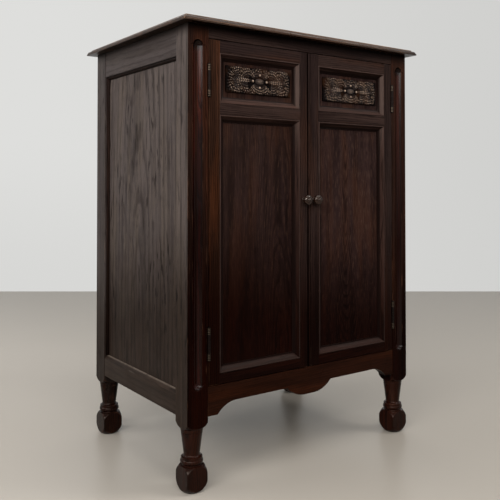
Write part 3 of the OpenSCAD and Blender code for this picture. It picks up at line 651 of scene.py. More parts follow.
# Darker copy for the rear legs: painted shade.
SHADED_REAR_LEG_OAK = replace(LEG_OAK, name="rear_leg_oak", base=tone(14, 6, 4), pale=tone(22, 10, 7),
                       line=tone(5, 3, 2))
APRON_OAK = OakFinish("apron_oak", tone(38, 19, 12), tone(50, 26, 16), tone(12, 5, 3),
                      tone(104, 72, 52), tone(66, 33, 18), line_depth=0.5, low_share=0.25)
# Pale tone: dust with painted sheen up, painted highlight on left bevels; foot: painted shade.
MOULD_OAK = OakFinish("mould_oak", tone(52, 35, 30), tone(66, 46, 40), tone(13, 5, 4),
                      tone(118, 100, 92), tone(72, 50, 42), gloss=0.4, polish=0.035, foot=0.9)
DOOR_OAK = OakFinish("door_oak", tone(40, 27, 25), tone(52, 37, 33), tone(13, 6, 4),
                     tone(84, 60, 47), tone(70, 42, 29), ring=0.0034, line_depth=0.45,
                     blush_share=0.35, dash=0.18)
PALE_DOOR_OAK = OakFinish("pale_door_oak", tone(45, 31, 29), tone(58, 41, 38), tone(14, 6, 5),
                          tone(96, 72, 60), tone(82, 50, 34), ring=0.0032, line_depth=0.6,
                          blush_share=0.35, dash=0.24)
# Near-black beads beside the side panels: painted shade in their recess.
SHADED_BEAD_OAK = OakFinish("bead_oak", tone(22, 13, 11), tone(30, 19, 16), tone(8, 4, 3),
                     tone(96, 80, 68), tone(40, 26, 20), gloss=0.36, polish=0.03,
                     low=(0.30, 0.25, 0.21, 1.0), low_top=0.46)
# Side-facing finishes below are greyer than the front's: painted sheen over dark oak.
SIDE_SHEEN_OAK = replace(SHADED_BEAD_OAK, name="side_oak", base=tone(76, 67, 64), pale=tone(92, 82, 78),
                   line=tone(26, 18, 15), worn=tone(118, 102, 90), blush=tone(90, 78, 65),
                   ring=0.016, line_depth=0.55, streak=0.35, fleck=1.0, blush_share=0.3,
                   gloss=0.42, polish=0.05, dash=0.12)
REAR_OAK = replace(SIDE_SHEEN_OAK, name="rear_oak", base=tone(66, 58, 56), pale=tone(78, 70, 67),
                   line=tone(24, 17, 14), worn=tone(110, 96, 84), blush=tone(78, 67, 58),
                   line_depth=0.4, streak=0.3, fleck=0.6, dash=0.0, low_share=0.95,
                   low_foot=0.2, low_top=0.42)
RAIL_OAK = replace(SIDE_SHEEN_OAK, name="rail_oak", base=tone(70, 62, 60), pale=tone(80, 72, 70),
                   line=tone(28, 20, 17), worn=tone(110, 96, 84), blush=tone(80, 69, 60),
                   ring=0.012, line_depth=0.45, streak=0.45, fleck=0.25, dash=0.0,
                   blush_share=0.2)
# Its lightened upper edge is a painted highlight.
LOW_RAIL_OAK = replace(RAIL_OAK, name="low_rail_oak", base=tone(72, 62, 56),
                       pale=tone(84, 73, 66), worn=tone(112, 100, 90), blush=tone(92, 74, 60),
                       blush_share=0.3, low_share=0.8, edge=0.1875, edge_share=0.6)
# Near-black edges of the meeting stiles: painted shade in the gap between the doors.
GAP_SHADE_OAK = OakFinish("gap_oak", tone(12, 6, 4), tone(18, 10, 7), tone(6, 3, 2),
                    tone(60, 44, 34), tone(22, 12, 8), gloss=0.5, polish=0.0)
TOP_OAK = OakFinish("top_oak", tone(40, 28, 22), tone(56, 40, 32), tone(16, 9, 6),
                    tone(150, 118, 94), tone(72, 46, 30), polish=0.14,
                    low_share=0.0, grime=0.0, edge=0.9025, edge_share=0.4)
KNOB_OAK = OakFinish("knob_oak", tone(26, 14, 10), tone(38, 22, 15), tone(7, 3, 2),
                     tone(90, 66, 52), tone(50, 29, 18), gloss=0.09, polish=0.36, low_share=0.0)
INNER_OAK = OakFinish("inner_oak", tone(84, 58, 38), tone(104, 74, 50), tone(50, 32, 20),
                      tone(140, 110, 84), tone(112, 78, 50), low_share=0.15, gloss=0.5, grime=0.0)
PLYWOOD = OakFinish("plywood", tone(122, 92, 60), tone(142, 110, 76), tone(92, 66, 42),
                    tone(160, 132, 100), tone(140, 104, 68), ring=0.009, line_depth=0.35,
                    streak=0.25, low_share=0.1, gloss=0.55, grime=0.0)
AGED_BRASS = BrassFinish("aged_brass", tone(150, 118, 74), tone(34, 24, 17))
HINGE_BRASS = BrassFinish("hinge_brass", tone(98, 85, 70), tone(18, 10, 7))
STEEL = BrassFinish("dark_steel", tone(128, 122, 114), tone(46, 40, 35), 0.36)
# Near-black hollows are painted shade; the pale high and tip tones are painted highlights.
PLAQUE_OAK = CarvedFinish("carved_oak", tone(3, 1, 1), tone(30, 17, 12), tone(184, 156, 134),
                          tone(176, 156, 138), tone(74, 44, 24))


# ---------------------------------------------------------------- bench


class Bench:
    """Hand tools: selecting, copying, easing and fastening pieces to their bodies."""

    WELD = 0.01 * MM  # corners nearer than this become one
    FLAT = math.radians(0.4)  # faces that differ by less become one
    SHARP = math.radians(32)  # the dullest arris that is rounded
    SEAM_REACH = 0.05 * MM  # how near to a seam its edges lie
    SEAM_SHARE = 0.22  # share of the rounding that is left at a seam

    @staticmethod
    def clear() -> None:
        """Leave edit mode and deselect every object."""
        if bpy.context.object and bpy.context.object.mode != "OBJECT":
            bpy.ops.object.mode_set(mode="OBJECT")
        for thing in bpy.context.selected_objects:
            thing.select_set(False)

    @classmethod
    def take(cls, *pieces: Piece) -> None:
        """Select only these objects and make the first one active."""
        cls.clear()
        for piece in pieces:
            piece.select_set(True)
        bpy.context.view_layer.objects.active = pieces[0]

    @staticmethod
    def put(name: str, data: bpy.types.ID) -> Piece:
        """Put a new object into the scene.

        Args:
            name: Name of the object.
            data: Its mesh, camera or light.

        Returns:
            The object.
        """
        thing = bpy.data.objects.new(name, data)
        bpy.context.scene.collection.objects.link(thing)
        return thing

    @classmethod
    def copy_node(cls, node: str) -> Piece:
        """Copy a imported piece's shape into a new object with shared corners and flat faces.

        Args:
            node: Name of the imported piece.

        Returns:
            The new object, named after the piece.
        """
        piece = cls.put(f"{node}_finished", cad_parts[node].data.copy())
        piece.data.materials.clear()
        cls.take(piece)
        bpy.ops.object.mode_set(mode="EDIT")
        bpy.ops.mesh.select_all(action="SELECT")
        bpy.ops.mesh.customdata_custom_splitnormals_clear()
        bpy.ops.mesh.remove_doubles(threshold=cls.WELD)
        bpy.ops.mesh.dissolve_limited(angle_limit=cls.FLAT)
        bpy.ops.object.mode_set(mode="OBJECT")
        return piece

    @classmethod
    def ease(cls, piece: Piece, width: float, seams: list[tuple[Face, float]]) -> None:
        """Round the arrises of a piece a little, less where it meets its neighbours.

        Args:
            piece: The piece to ease.
            width: Width of the rounding in metres.
            seams: Planes, as an axis and a place, where the piece meets another.
        """
        shape = bmesh.new()
        shape.from_mesh(piece.data)
        weight = shape.edges.layers.float.new("bevel_weight_edge")
        for edge in shape.edges:
            if len(edge.link_faces) != 2 or not edge.is_convex:
                continue
            if edge.calc_face_angle(0.0) < cls.SHARP:
                continue
            at_seam = any(all(abs(v.co[axis.value] - place) < cls.SEAM_REACH for v in edge.verts)
                          for axis, place in seams)
            edge[weight] = cls.SEAM_SHARE if at_seam else 1.0
        shape.to_mesh(piece.data)
        shape.free()
        cls.take(piece)
        rounding = piece.modifiers.new("ease", "BEVEL")
        rounding.limit_method = "WEIGHT"
        rounding.width = width
        rounding.segments = 2
        rounding.use_clamp_overlap = False
        rounding.material = 1
        rounding.miter_outer = "MITER_ARC"
        bpy.ops.object.modifier_apply(modifier=rounding.name)

    @classmethod
    def smooth(cls, piece: Piece, angle: float = 35.0) -> None:
        """Shade a piece smooth up to an angle, its broad faces staying flat.

        Args:
            piece: The piece to shade.
            angle: Sharpest angle that is still shaded smooth, in degrees.
        """
        cls.take(piece)
        bpy.ops.object.shade_smooth_by_angle(angle=math.radians(angle))
        even = piece.modifiers.new("even", "WEIGHTED_NORMAL")
        even.keep_sharp = True
        bpy.ops.object.modifier_apply(modifier=even.name)

    @staticmethod
    def hand_in(piece: Piece, body: str, slot: str, *nodes: str) -> None:
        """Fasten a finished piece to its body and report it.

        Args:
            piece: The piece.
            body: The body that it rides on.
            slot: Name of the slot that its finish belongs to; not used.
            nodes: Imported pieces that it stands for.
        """
        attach(piece, body)
        if nodes:
            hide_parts(*nodes)
        LOG.info("%s: %d faces on %s", piece.name, len(piece.data.polygons), body)


@dataclass
class Timber:
    """One board or post of the cabinet, with its finish and its easing.

    Its arrises are rubbed by `wear`, and `seams` are the planes where it meets others. A post
    may have an `outer` face with a greyer finish of painted sheen, a `hollow` flute and a turned
    `leg` with finishes of their own, and a stile may be painted dark, as shade, within `gap` of
    the cabinet's middle.
    """

    node: str
    slot: str
    finish: OakFinish
    grain: Grain
    face: Face
    figure: Figure = Figure.STRAIGHT
    wear: float = 0.35
    arris: float = 0.9 * MM
    seams: list[tuple[Face, float]] = field(default_factory=list)
    body: str = "cabinet"
    outer: OakFinish | None = None
    hollow: OakFinish | None = None
    leg: OakFinish = LEG_OAK
    gap: float = 0.0

    LEG_WEAR = (0.2, 0.6)  # wear of a leg's faces and of its edges
    SQUARE = 0.995  # normals nearer to an axis than this belong to flat faces
    OUTER_SEED, OUTER_NORMAL, OUTER_AREA = 50, 0.98, 0.002
    GAP_SEED, GAP_NORMAL = 60, 0.8

    def build(self, seed: int) -> None:
        """Copy, ease and finish the board.

        Args:
            seed: Seed of its figure.
        """
        low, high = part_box(self.node)
        cut = Cut(self.grain, self.face, tuple((low + high) / 2), self.figure)
        piece = Bench.copy_node(self.node)
        for wear in (0.0, self.wear):
            piece.data.materials.append(self.finish.material(cut, seed, wear))
        if self.arris:
            Bench.ease(piece, self.arris, self.seams)
        if self.outer:
            self.dress_outer(piece, replace(cut, face=Face.X), seed + self.OUTER_SEED)
        if self.hollow:
            self.dress_hollow(piece, cut, seed)
        if self.gap:
            self.dress_gap(piece, replace(cut, face=Face.X), seed + self.GAP_SEED)
        Bench.smooth(piece)
        Bench.hand_in(piece, self.body, self.slot, self.node)

    def dress_outer(self, piece: Piece, cut: Cut, seed: int) -> None:
        """Give the flat face at the side of the cabinet its own greyer finish, a painted sheen.

        Args:
            piece: The post.
            cut: How it was cut.
            seed: Seed of its figure.
        """
        outer = len(piece.data.materials)
        piece.data.materials.append(self.outer.material(cut, seed))
        for polygon in piece.data.polygons:
            outward = polygon.normal.x * math.copysign(1.0, cut.centre[0])
            if outward > self.OUTER_NORMAL and polygon.area > self.OUTER_AREA:
                polygon.material_index = outer

    def dress_hollow(self, piece: Piece, cut: Cut, seed: int) -> None:
        """Give the flute and the turned leg their own, glossier finishes.

        Args:
            piece: The post.
            cut: How it was cut.
            seed: Seed of its figure.
        """
        hollow = len(piece.data.materials)
        piece.data.materials.append(self.hollow.material(cut, seed))
        for wear in self.LEG_WEAR:
            piece.data.materials.append(self.leg.material(cut, seed, wear))
        for polygon in piece.data.polygons:
            square = max(abs(part) for part in polygon.normal) > self.SQUARE
            if polygon.center.z < LEG_TOP:
                polygon.material_index = hollow + 1 + int(polygon.material_index == 1)
            elif polygon.material_index == 0 and not square:
                polygon.material_index = hollow

    def dress_gap(self, piece: Piece, cut: Cut, seed: int) -> None:
        """Paint the edge where the doors meet dark, as shade in the gap.

        Args:
            piece: The stile.
            cut: How it was cut.
            seed: Seed of its figure.
        """
        dark = len(piece.data.materials)
        piece.data.materials.append(GAP_SHADE_OAK.material(cut, seed))
        for polygon in piece.data.polygons:
            if abs(polygon.normal.x) > self.GAP_NORMAL and abs(polygon.center.x) < self.gap:
                polygon.material_index = dark


# ---------------------------------------------------------------- carcass


@dataclass
class Carcass:
    """Posts, rails, panels, top and back of the cabinet."""

    post_in: float = 254 * MM
    post_back: float = 167 * MM
    arris: float = 1.1 * MM
    first_seed: int = 100

    def build(self) -> None:
        """Make all outer timbers of the carcass."""
        for number, timber in enumerate(self.posts() + self.boards()):
            timber.build(self.first_seed + number)

    def posts(self) -> list[Timber]:
        """List the corner posts.

        Returns:
            The timbers, in the order of their seeds.
        """
        kinds = (
            ("front", POST_OAK, SIDE_SHEEN_OAK, FLUTE_OAK, LEG_OAK),
            ("rear", REAR_OAK, None, REAR_OAK, SHADED_REAR_LEG_OAK),
        )
        return [
            Timber(f"{place}_{side.word}_post", "frame_oak", oak, Grain.ALONG_Z, Face.Y,
                   Figure.RIFT, 0.5, self.arris, [(Face.Z, RAIL_TOP)], "cabinet", *parts)
            for place, oak, *parts in kinds for side in Side
        ]

    def boards(self) -> list[Timber]:
        """List the boards, rails and panels between the posts.

        Returns:
            The timbers, in the order of their seeds.
        """
        top = [(Face.Z, RAIL_TOP)]
        across = top + [(Face.X, -self.post_in), (Face.X, self.post_in)]
        inwards = top + [(Face.Y, -self.post_back), (Face.Y, self.post_back)]
        made = [Timber("top_board", "top_oak", TOP_OAK, Grain.ALONG_X, Face.Z, Figure.CATHEDRAL,
                       0.9, 0.5 * MM, top)]
        made += [
            Timber(node, "frame_oak", oak, Grain.ALONG_X, Face.Y, figure, wear, self.arris, across)
            for node, oak, figure, wear in (
                ("front_top_rail", DARK_OAK, Figure.STRAIGHT, 0.3),
                ("front_apron", APRON_OAK, Figure.RIFT, 0.4),
                ("rear_top_rail", SIDE_SHEEN_OAK, Figure.RIFT, 0.3),
                ("rear_low_rail", SIDE_SHEEN_OAK, Figure.RIFT, 0.3),
            )
        ]
        made.append(Timber("back_panel", "plywood", PLYWOOD, Grain.ALONG_Z, Face.Y,
                           Figure.CATHEDRAL, 0.2, 0.4 * MM))
        for side in Side:
            made += [
                Timber(f"{side.word}_{level}_rail", "frame_oak", oak, Grain.ALONG_Y, Face.X,
                       Figure.RIFT, wear, self.arris, inwards)
                for level, oak, wear in (("top", RAIL_OAK, 0.3), ("low", LOW_RAIL_OAK, 0.5))
            ]
            made.append(Timber(f"{side.word}_panel", "side_oak", SIDE_SHEEN_OAK, Grain.ALONG_Z, Face.X,
                               Figure.CATHEDRAL, arris=0.0))
        made.append(Timber("side_beads", "frame_oak", SHADED_BEAD_OAK, Grain.ALONG_Z, Face.X, arris=0.0))
        return made


@dataclass
class Interior:
    """Bottom board, shelf, racks, glue blocks and door stops."""

    arris: float = 0.6 * MM
    first_seed: int = 200

    def build(self) -> None:
        """Make all timbers inside the cabinet."""
        boards = (
            ("bottom_board", INNER_OAK, Grain.ALONG_X, Face.Z, Figure.CATHEDRAL, 0.2),
            ("shelf", INNER_OAK, Grain.ALONG_X, Face.Z, Figure.CATHEDRAL, 0.3),
            ("shelf_battens", INNER_OAK, Grain.ALONG_Y, Face.X, Figure.STRAIGHT, 0.2),
            ("lower_dividers", PLYWOOD, Grain.ALONG_Z, Face.X, Figure.CATHEDRAL, 0.3),
            ("upper_dividers", PLYWOOD, Grain.ALONG_Z, Face.X, Figure.CATHEDRAL, 0.3),
            ("top_blocks", INNER_OAK, Grain.ALONG_Y, Face.X, Figure.STRAIGHT, 0.2),
            ("door_stops", INNER_OAK, Grain.ALONG_X, Face.Y, Figure.STRAIGHT, 0.2),
        )
        for number, (node, oak, *cut) in enumerate(boards):
            Timber(node, oak.name, oak, *cut, self.arris).build(self.first_seed + number)


# ---------------------------------------------------------------- doors


@dataclass
class Plaque:
    """A carved plaque of ribbed acanthus leaves and curls round a seeded boss with berries.

    All its lengths are in millimetres, and one quarter of the pattern is drawn and mirrored.
    """

    side: Side
    ground: float = 3.0
    pitch: float = 0.42
    skim: float = 0.8
    rim: float = 1.2
    rim_fall: float = 0.45
    rim_wave: float = 2.1
    smooth_to: float = 50.0

    # root, first and last direction, ribs, reach, curl and rise of each leaf of the border
    UPPER_FANS = (
        ((6, 2), 10, 104, 7, (26, 27, 27), 22, 0.84),
        ((29, 0), 20, 116, 8, (28, 31, 28), -18, 0.90),
        ((51, 1), -14, 106, 9, (27, 34, 27), 20, 0.86),
    )
    LOWER_FANS = (
        ((1, 1), 12, 96, 10, (40, 31, 27), 26, 0.90),
        ((33, -2), 14, 116, 8, (30, 33, 28), -20, 0.84),
        ((53, 1), -14, 100, 9, (25, 33, 28), 18, 0.86),
    )
    # middle and radius of each curl
    CURLS = (((46, 17), 4.8), ((23, 19), 4.0), ((67, 9), 4.4), ((68, 22), 3.6), ((9, 22), 3.2))
    # root, direction, length, width, rise and veins of each long leaf
    LEAVES = (((20, 0), 0, 53, 12, 1.0, 10), ((13, 7), 58, 15, 6, 0.95, 4))
    BOSS, BOSS_MOAT = (11.4, 6.4), (12.8, 7.6)
    BERRIES = ((17.4, 0.0), (0.0, 12.6))
    BERRY, BERRY_MOAT = 3.2, 3.9
    POLISH = (0.03, 0.2)  # shine of the ground and of the high places

    def __post_init__(self) -> None:
        """Take the plaque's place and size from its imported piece."""
        low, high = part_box(f"{self.side.word}_door_carving")
        self.middle = (low + high) / 2 / MM
        self.wide, self.deep, self.high = (high - low) / MM
        self.panel_y = high.y / MM
        self.relief = self.deep - self.ground

    @staticmethod
    def _leaf(x: Grid, z: Grid, root: Pair, turn: float, length: float, width: float,
              rise: float, veins: int) -> Grid:
        """Height of one long leaf with a sunk midrib and slanting veins.

        Args:
            x: Places across the plaque.
            z: Places up the plaque.
            root: Root of the leaf.
            turn: Direction of the leaf in degrees.
            length: Its length.
            width: Its width.
            rise: Its height.
            veins: Number of veins on each side.

        Returns:
            The height at each place, zero outside the leaf.
        """
        angle = math.radians(turn)
        along = (x - root[0]) * math.cos(angle) + (z - root[1]) * math.sin(angle)
        aside = -(x - root[0]) * math.sin(angle) + (z - root[1]) * math.cos(angle)
        part = np.clip(along / length, 0, 1)
        notch = 1 - 0.30 * np.abs(np.sin(math.pi * veins * part))
        half = width / 2 * np.sin(math.pi * part ** 0.75) ** 0.8 * notch + 1e-6
        share = np.abs(aside) / half
        dome = np.sqrt(np.clip(1 - share ** 2, 0, 1))
        lift = rise * dome * (0.5 + 0.5 * np.sin(math.pi * part ** 0.6))
        lift -= 0.5 * rise * np.exp(-(share / 0.18) ** 2)
        lift -= 0.34 * rise * (0.5 + 0.5 * np.cos(2 * math.pi * (veins * part - 0.6 * share)))
        return np.where((share < 1) & (along > 0) & (along < length), np.maximum(lift, 0), 0)

    @staticmethod
    def _fan(x: Grid, z: Grid, root: Pair, start: float, stop: float, lobes: int,
             reach: tuple[float, float, float], curl: float, rise: float) -> Grid:
        """Height of an acanthus leaf whose narrow, notched ribs curl out of a root.

        Args:
            x: Places across the plaque.
            z: Places up the plaque.
            root: Root of the fan.
            start: Direction of its first edge in degrees.
            stop: Direction of its last edge in degrees.
            lobes: Number of ribs.
            reach: Length at the first edge, in the middle and at the last edge.
            curl: Turn of the ribs from root to tip, in degrees.
            rise: Its height.

        Returns:
            The height at each place, zero outside the leaf.
        """
        dx, dz = x - root[0], z - root[1]
        away = np.hypot(dx, dz)
        turn = np.degrees(np.arctan2(dz, dx)) - curl * away / max(reach)
        part = (turn - start) / (stop - start)
        inside = (part > 0) & (part < 1)
        place = np.clip(part, 0, 1) * lobes
        share = place - np.floor(place)
        lobe = (np.floor(place) + 0.5) / lobes
        far = np.interp(lobe, (0, 0.5, 1), reach) * (1 - 0.28 * (2 * share - 1) ** 2)
        run = np.clip(away / far, 0, 1)
        rib = np.sin(math.pi * share) ** 1.1
        swell = 0.25 + 0.75 * np.sin(math.pi * run ** 1.8) ** 0.6
        notch = 1 - 0.6 * (0.5 + 0.5 * np.cos(2 * math.pi * away / 5.2)) ** 2
        tip = np.clip((1 - run) / 0.07, 0, 1) ** 0.5
        lift = rise * rib * swell * notch * tip
        return np.where(inside & (run < 1) & (away > 2), np.maximum(lift, 0), 0)

    @staticmethod
    def _curl(x: Grid, z: Grid, root: Pair, radius: float, rise: float) -> Grid:
        """Height of a small curled leaf tip with an eye in its middle.

        Args:
            x: Places across the plaque.
            z: Places up the plaque.
            root: Middle of the curl.
            radius: Its radius.
            rise: Its height.

        Returns:
            The height at each place, zero outside the curl.
        """
        dx, dz = x - root[0], z - root[1]
        away = np.hypot(dx, dz) / radius
        turn = np.arctan2(dz, dx)
        wound = 0.34 + 0.5 * ((turn / (2 * math.pi)) % 1)
        rim = np.maximum(np.exp(-((away - wound) / 0.15) ** 2),
                         np.exp(-((away - wound - 0.5) / 0.15) ** 2))
        eye = np.sqrt(np.clip(1 - (away / 0.3) ** 2, 0, 1))
        notch = 1 - 0.4 * (0.5 + 0.5 * np.cos(6 * turn + 5 * away))
        edge = np.clip((1 - away) / 0.12, 0, 1)
        return np.where(away < 1, rise * edge * np.maximum(rim * notch, 0.95 * eye), 0)

    @staticmethod
    def _sink(height: Grid, inside: Grid, level: float) -> Grid:
        """Cut the carving down to a level wherever a place is inside."""
        return np.where(inside, np.minimum(height, level), height)

    def _foliage(self, x: Grid, z: Grid) -> Grid:
        """Height of the leaves and curls above the punched ground.

        Args:
            x: Places across the plaque from its middle.
            z: Places up the plaque from its middle.

        Returns:
            The height at each place.
        """
        u, v = np.abs(x), np.abs(z)
        top = self.relief
        h = 0.22 * top * (0.5 + 0.5 * np.sin(1.9 * x + 0.7 * z) * np.sin(1.7 * z - 0.5 * x)) ** 2
        for over, under in zip(self.UPPER_FANS, self.LOWER_FANS):
            above, below = (self._fan(u, v, *fan, rise * top) for *fan, rise in (over, under))
            h = np.maximum(h, np.where(z > 0, above, below))
        for middle, radius in self.CURLS:
            h = self._sink(h, np.hypot(u - middle[0], v - middle[1]) < radius + 0.8, 0.15 * top)
            h = np.maximum(h, self._curl(u, v, middle, radius, top))
        for *leaf, rise, veins in self.LEAVES:
            h = np.maximum(h, self._leaf(u, v, *leaf, rise * top, veins))
        return h

    def _surface(self, x: Grid, z: Grid) -> Grid:
        """Height of the whole carving above its ground.

        Args:
            x: Places across the plaque from its middle.
            z: Places up the plaque from its middle.

        Returns:
            The height at each place.
        """
        u, v = np.abs(x), np.abs(z)
        top = self.relief
        h = np.minimum(self._foliage(x, z), 0.92 * top)
        moat, boss = (np.hypot(u / wide, v / high) for wide, high in (self.BOSS_MOAT, self.BOSS))
        h = self._sink(h, moat < 1, 0.08 * top)
        seeds = 0.5 + 0.5 * np.cos(1.8 * x) * np.cos(2.2 * z)
        dome = top * (0.42 + 0.45 * np.sqrt(np.clip(1 - boss ** 2, 0, 1))) - 1.9 * (1 - seeds)
        h = np.where(boss < 1, np.maximum(dome, 0), h)
        for across, up in self.BERRIES:
            away = np.hypot(u - across, v - up)
            h = self._sink(h, away < self.BERRY_MOAT, 0.3 * top)
            berry = 0.2 * top + 0.72 * top * np.sqrt(np.clip(1 - (away / self.BERRY) ** 2, 0, 1))
            h = np.where(away < self.BERRY, berry, h)
        return np.clip(h, 0, top)

    def build(self) -> None:
        """Carve the plaque from a fine grid, close it behind and finish it."""
        across, up = (round(size / self.pitch) for size in (self.wide, self.high))
        Bench.clear()
        bpy.ops.mesh.primitive_grid_add(x_subdivisions=across, y_subdivisions=up, size=1.0)
        piece = bpy.context.object
        piece.name = f"{self.side.word}_door_carving_finished"
        self._carve(piece.data)
        self._close(piece)
        back = (self.panel_y - self.ground) * MM
        for polish in self.POLISH:
            piece.data.materials.append(PLAQUE_OAK.material(
                back, back - self.relief * MM, polish))
        for polygon in piece.data.polygons:
            polygon.material_index = int(polygon.center.y < back - self.skim * MM)
        Bench.take(piece)
        bpy.ops.object.shade_smooth_by_angle(angle=math.radians(self.smooth_to))
        Bench.hand_in(piece, f"{self.side.word}_door", "carved_oak",
                      f"{self.side.word}_door_carving")

    def _carve(self, mesh: bpy.types.Mesh) -> None:
        """Move the corners of a unit grid to the carved surface.

        Args:
            mesh: The grid's mesh.
        """
        spots = np.zeros(len(mesh.vertices) * 3)
        mesh.vertices.foreach_get("co", spots)
        spots = spots.reshape(-1, 3)
        x, z = spots[:, 0] * self.wide, spots[:, 1] * self.high
        edge_x, edge_z = (
            np.clip((np.abs(place) - size / 2 + self.rim) / self.rim, 0, 1)
            for place, size in ((x, self.wide), (z, self.high))
        )
        height = self._surface(x, z) * (1 - self.rim_fall * np.maximum(edge_x, edge_z) ** 3)
        x = x - np.sign(x) * edge_x * 0.3 * (1 + np.sin(self.rim_wave * z))
        z = z - np.sign(z) * edge_z * 0.3 * (1 + np.sin(self.rim_wave * x))
        spots[:, 0] = (self.middle.x + self.side.value * x) * MM
        spots[:, 1] = (self.panel_y - self.ground - height) * MM
        spots[:, 2] = (self.middle.z + z) * MM
        mesh.vertices.foreach_set("co", spots.ravel())
        mesh.update()

    def _close(self, piece: Piece) -> None:
        """Draw the rim back to the panel, fill the back and turn the faces outwards.

        Args:
            piece: The carved sheet.
        """
        Bench.take(piece)
        bpy.ops.object.mode_set(mode="EDIT")
        bpy.ops.mesh.select_mode(type="EDGE")
        bpy.ops.mesh.select_all(action="DESELECT")
        bpy.ops.mesh.select_non_manifold()
        bpy.ops.mesh.extrude_edges_move()
        bpy.ops.mesh.edge_face_add()
        bpy.ops.object.mode_set(mode="OBJECT")
        for corner in piece.data.vertices:
            if corner.select:
                corner.co.y = self.panel_y * MM
        bpy.ops.object.mode_set(mode="EDIT")
        bpy.ops.mesh.select_all(action="SELECT")
        bpy.ops.mesh.normals_make_consistent(inside=False)
        bpy.ops.object.mode_set(mode="OBJECT")


@dataclass
class Door:
    """One panelled door: frame, panels, mouldings, plaque and knob."""

    side: Side
    seam_out: float = 228.3 * MM
    seam_in: float = 26 * MM
    arris: float = 0.9 * MM
    gap_half: float = 8 * MM
    crest: float = 0.7 * MM

    SEEDS = {Side.LEFT: 300, Side.RIGHT: 400}
    PANEL_SEED, MOULD_SEED, KNOB_SEED = 10, 20, 40
    LEVELS = ("upper", "lower")
    FRAME = (
        ("hinge_stile", Grain.ALONG_Z, Figure.RIFT, 0.45),
        ("meeting_stile", Grain.ALONG_Z, Figure.RIFT, 0.45),
        ("top_rail", Grain.ALONG_X, Figure.STRAIGHT, 0.3),
        ("mid_rail", Grain.ALONG_X, Figure.RIFT, 0.3),
        ("low_rail", Grain.ALONG_X, Figure.RIFT, 0.35),
    )
    MOULD_RUNS = ((Grain.ALONG_Z, 0.0), (Grain.ALONG_Z, 0.25),
                  (Grain.ALONG_X, 0.0), (Grain.ALONG_X, 0.25))
    KNOB_WEAR = 0.3
    SMOOTH_TO = 40.0

    @property
    def body(self) -> str:
        """Give the name of the body that this door is."""
        return f"{self.side.word}_door"

    def build(self) -> None:
        """Make every wooden piece of the door."""
        seed = self.SEEDS[self.side]
        left = self.side is Side.LEFT
        seams = [(Face.X, self.side.value * place) for place in (self.seam_out, self.seam_in)]
        for number, (part, grain, figure, wear) in enumerate(self.FRAME):
            oak = WARM_OAK if left and part == "hinge_stile" else DARK_OAK
            gap = self.gap_half if part == "meeting_stile" else 0.0
            Timber(f"{self.body}_{part}", "frame_oak", oak, grain, Face.Y, figure, wear,
                   self.arris, seams, self.body, gap=gap).build(seed + number)
        oak, figure = (DOOR_OAK, Figure.RIFT) if left else (PALE_DOOR_OAK, Figure.CATHEDRAL)
        for number, level in enumerate(self.LEVELS):
            Timber(f"{self.body}_{level}_panel", "door_panel_oak", oak, Grain.ALONG_Z, Face.Y,
                   figure, arris=0.0, body=self.body).build(seed + self.PANEL_SEED + number)
        for number, level in enumerate(self.LEVELS):
            self.moulding(f"{self.body}_{level}_moulding",
                          seed + self.MOULD_SEED + number * len(self.MOULD_RUNS))
        Plaque(self.side).build()
        self.knob(seed + self.KNOB_SEED)

    def moulding(self, node: str, seed: int) -> None:
        """Finish a moulding frame, each of its lengths with its own grain.

        Args:
            node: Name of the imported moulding.
            seed: Seed of its figure.
        """
        low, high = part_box(node)
        centre, half = (low + high) / 2, (high - low) / 2
        piece = Bench.copy_node(node)
        for number, (grain, wear) in enumerate(self.MOULD_RUNS):
            cut = Cut(grain, Face.Y, tuple(centre))
            piece.data.materials.append(MOULD_OAK.material(cut, seed + number, wear))
        for polygon in piece.data.polygons:
            away = polygon.center - centre
            level = half.x - abs(away.x) >= half.z - abs(away.z)
            crest = polygon.center.y < low.y + self.crest
            polygon.material_index = 2 * int(level) + int(crest)
        Bench.smooth(piece, self.SMOOTH_TO)
        Bench.hand_in(piece, self.body, "frame_oak", node)

    def knob(self, seed: int) -> None:
        """Finish the turned knob.

        Args:
            seed: Seed of its figure.
        """
        node = f"{self.body}_knob"
        piece = Bench.copy_node(node)
        low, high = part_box(node)
        cut = Cut(Grain.ALONG_Y, Face.X, tuple((low + high) / 2))
        piece.data.materials.append(KNOB_OAK.material(cut, seed, self.KNOB_WEAR))
        Bench.smooth(piece, self.SMOOTH_TO)
        Bench.hand_in(piece, self.body, "turned_oak", node)


# ---------------------------------------------------------------- metalwork


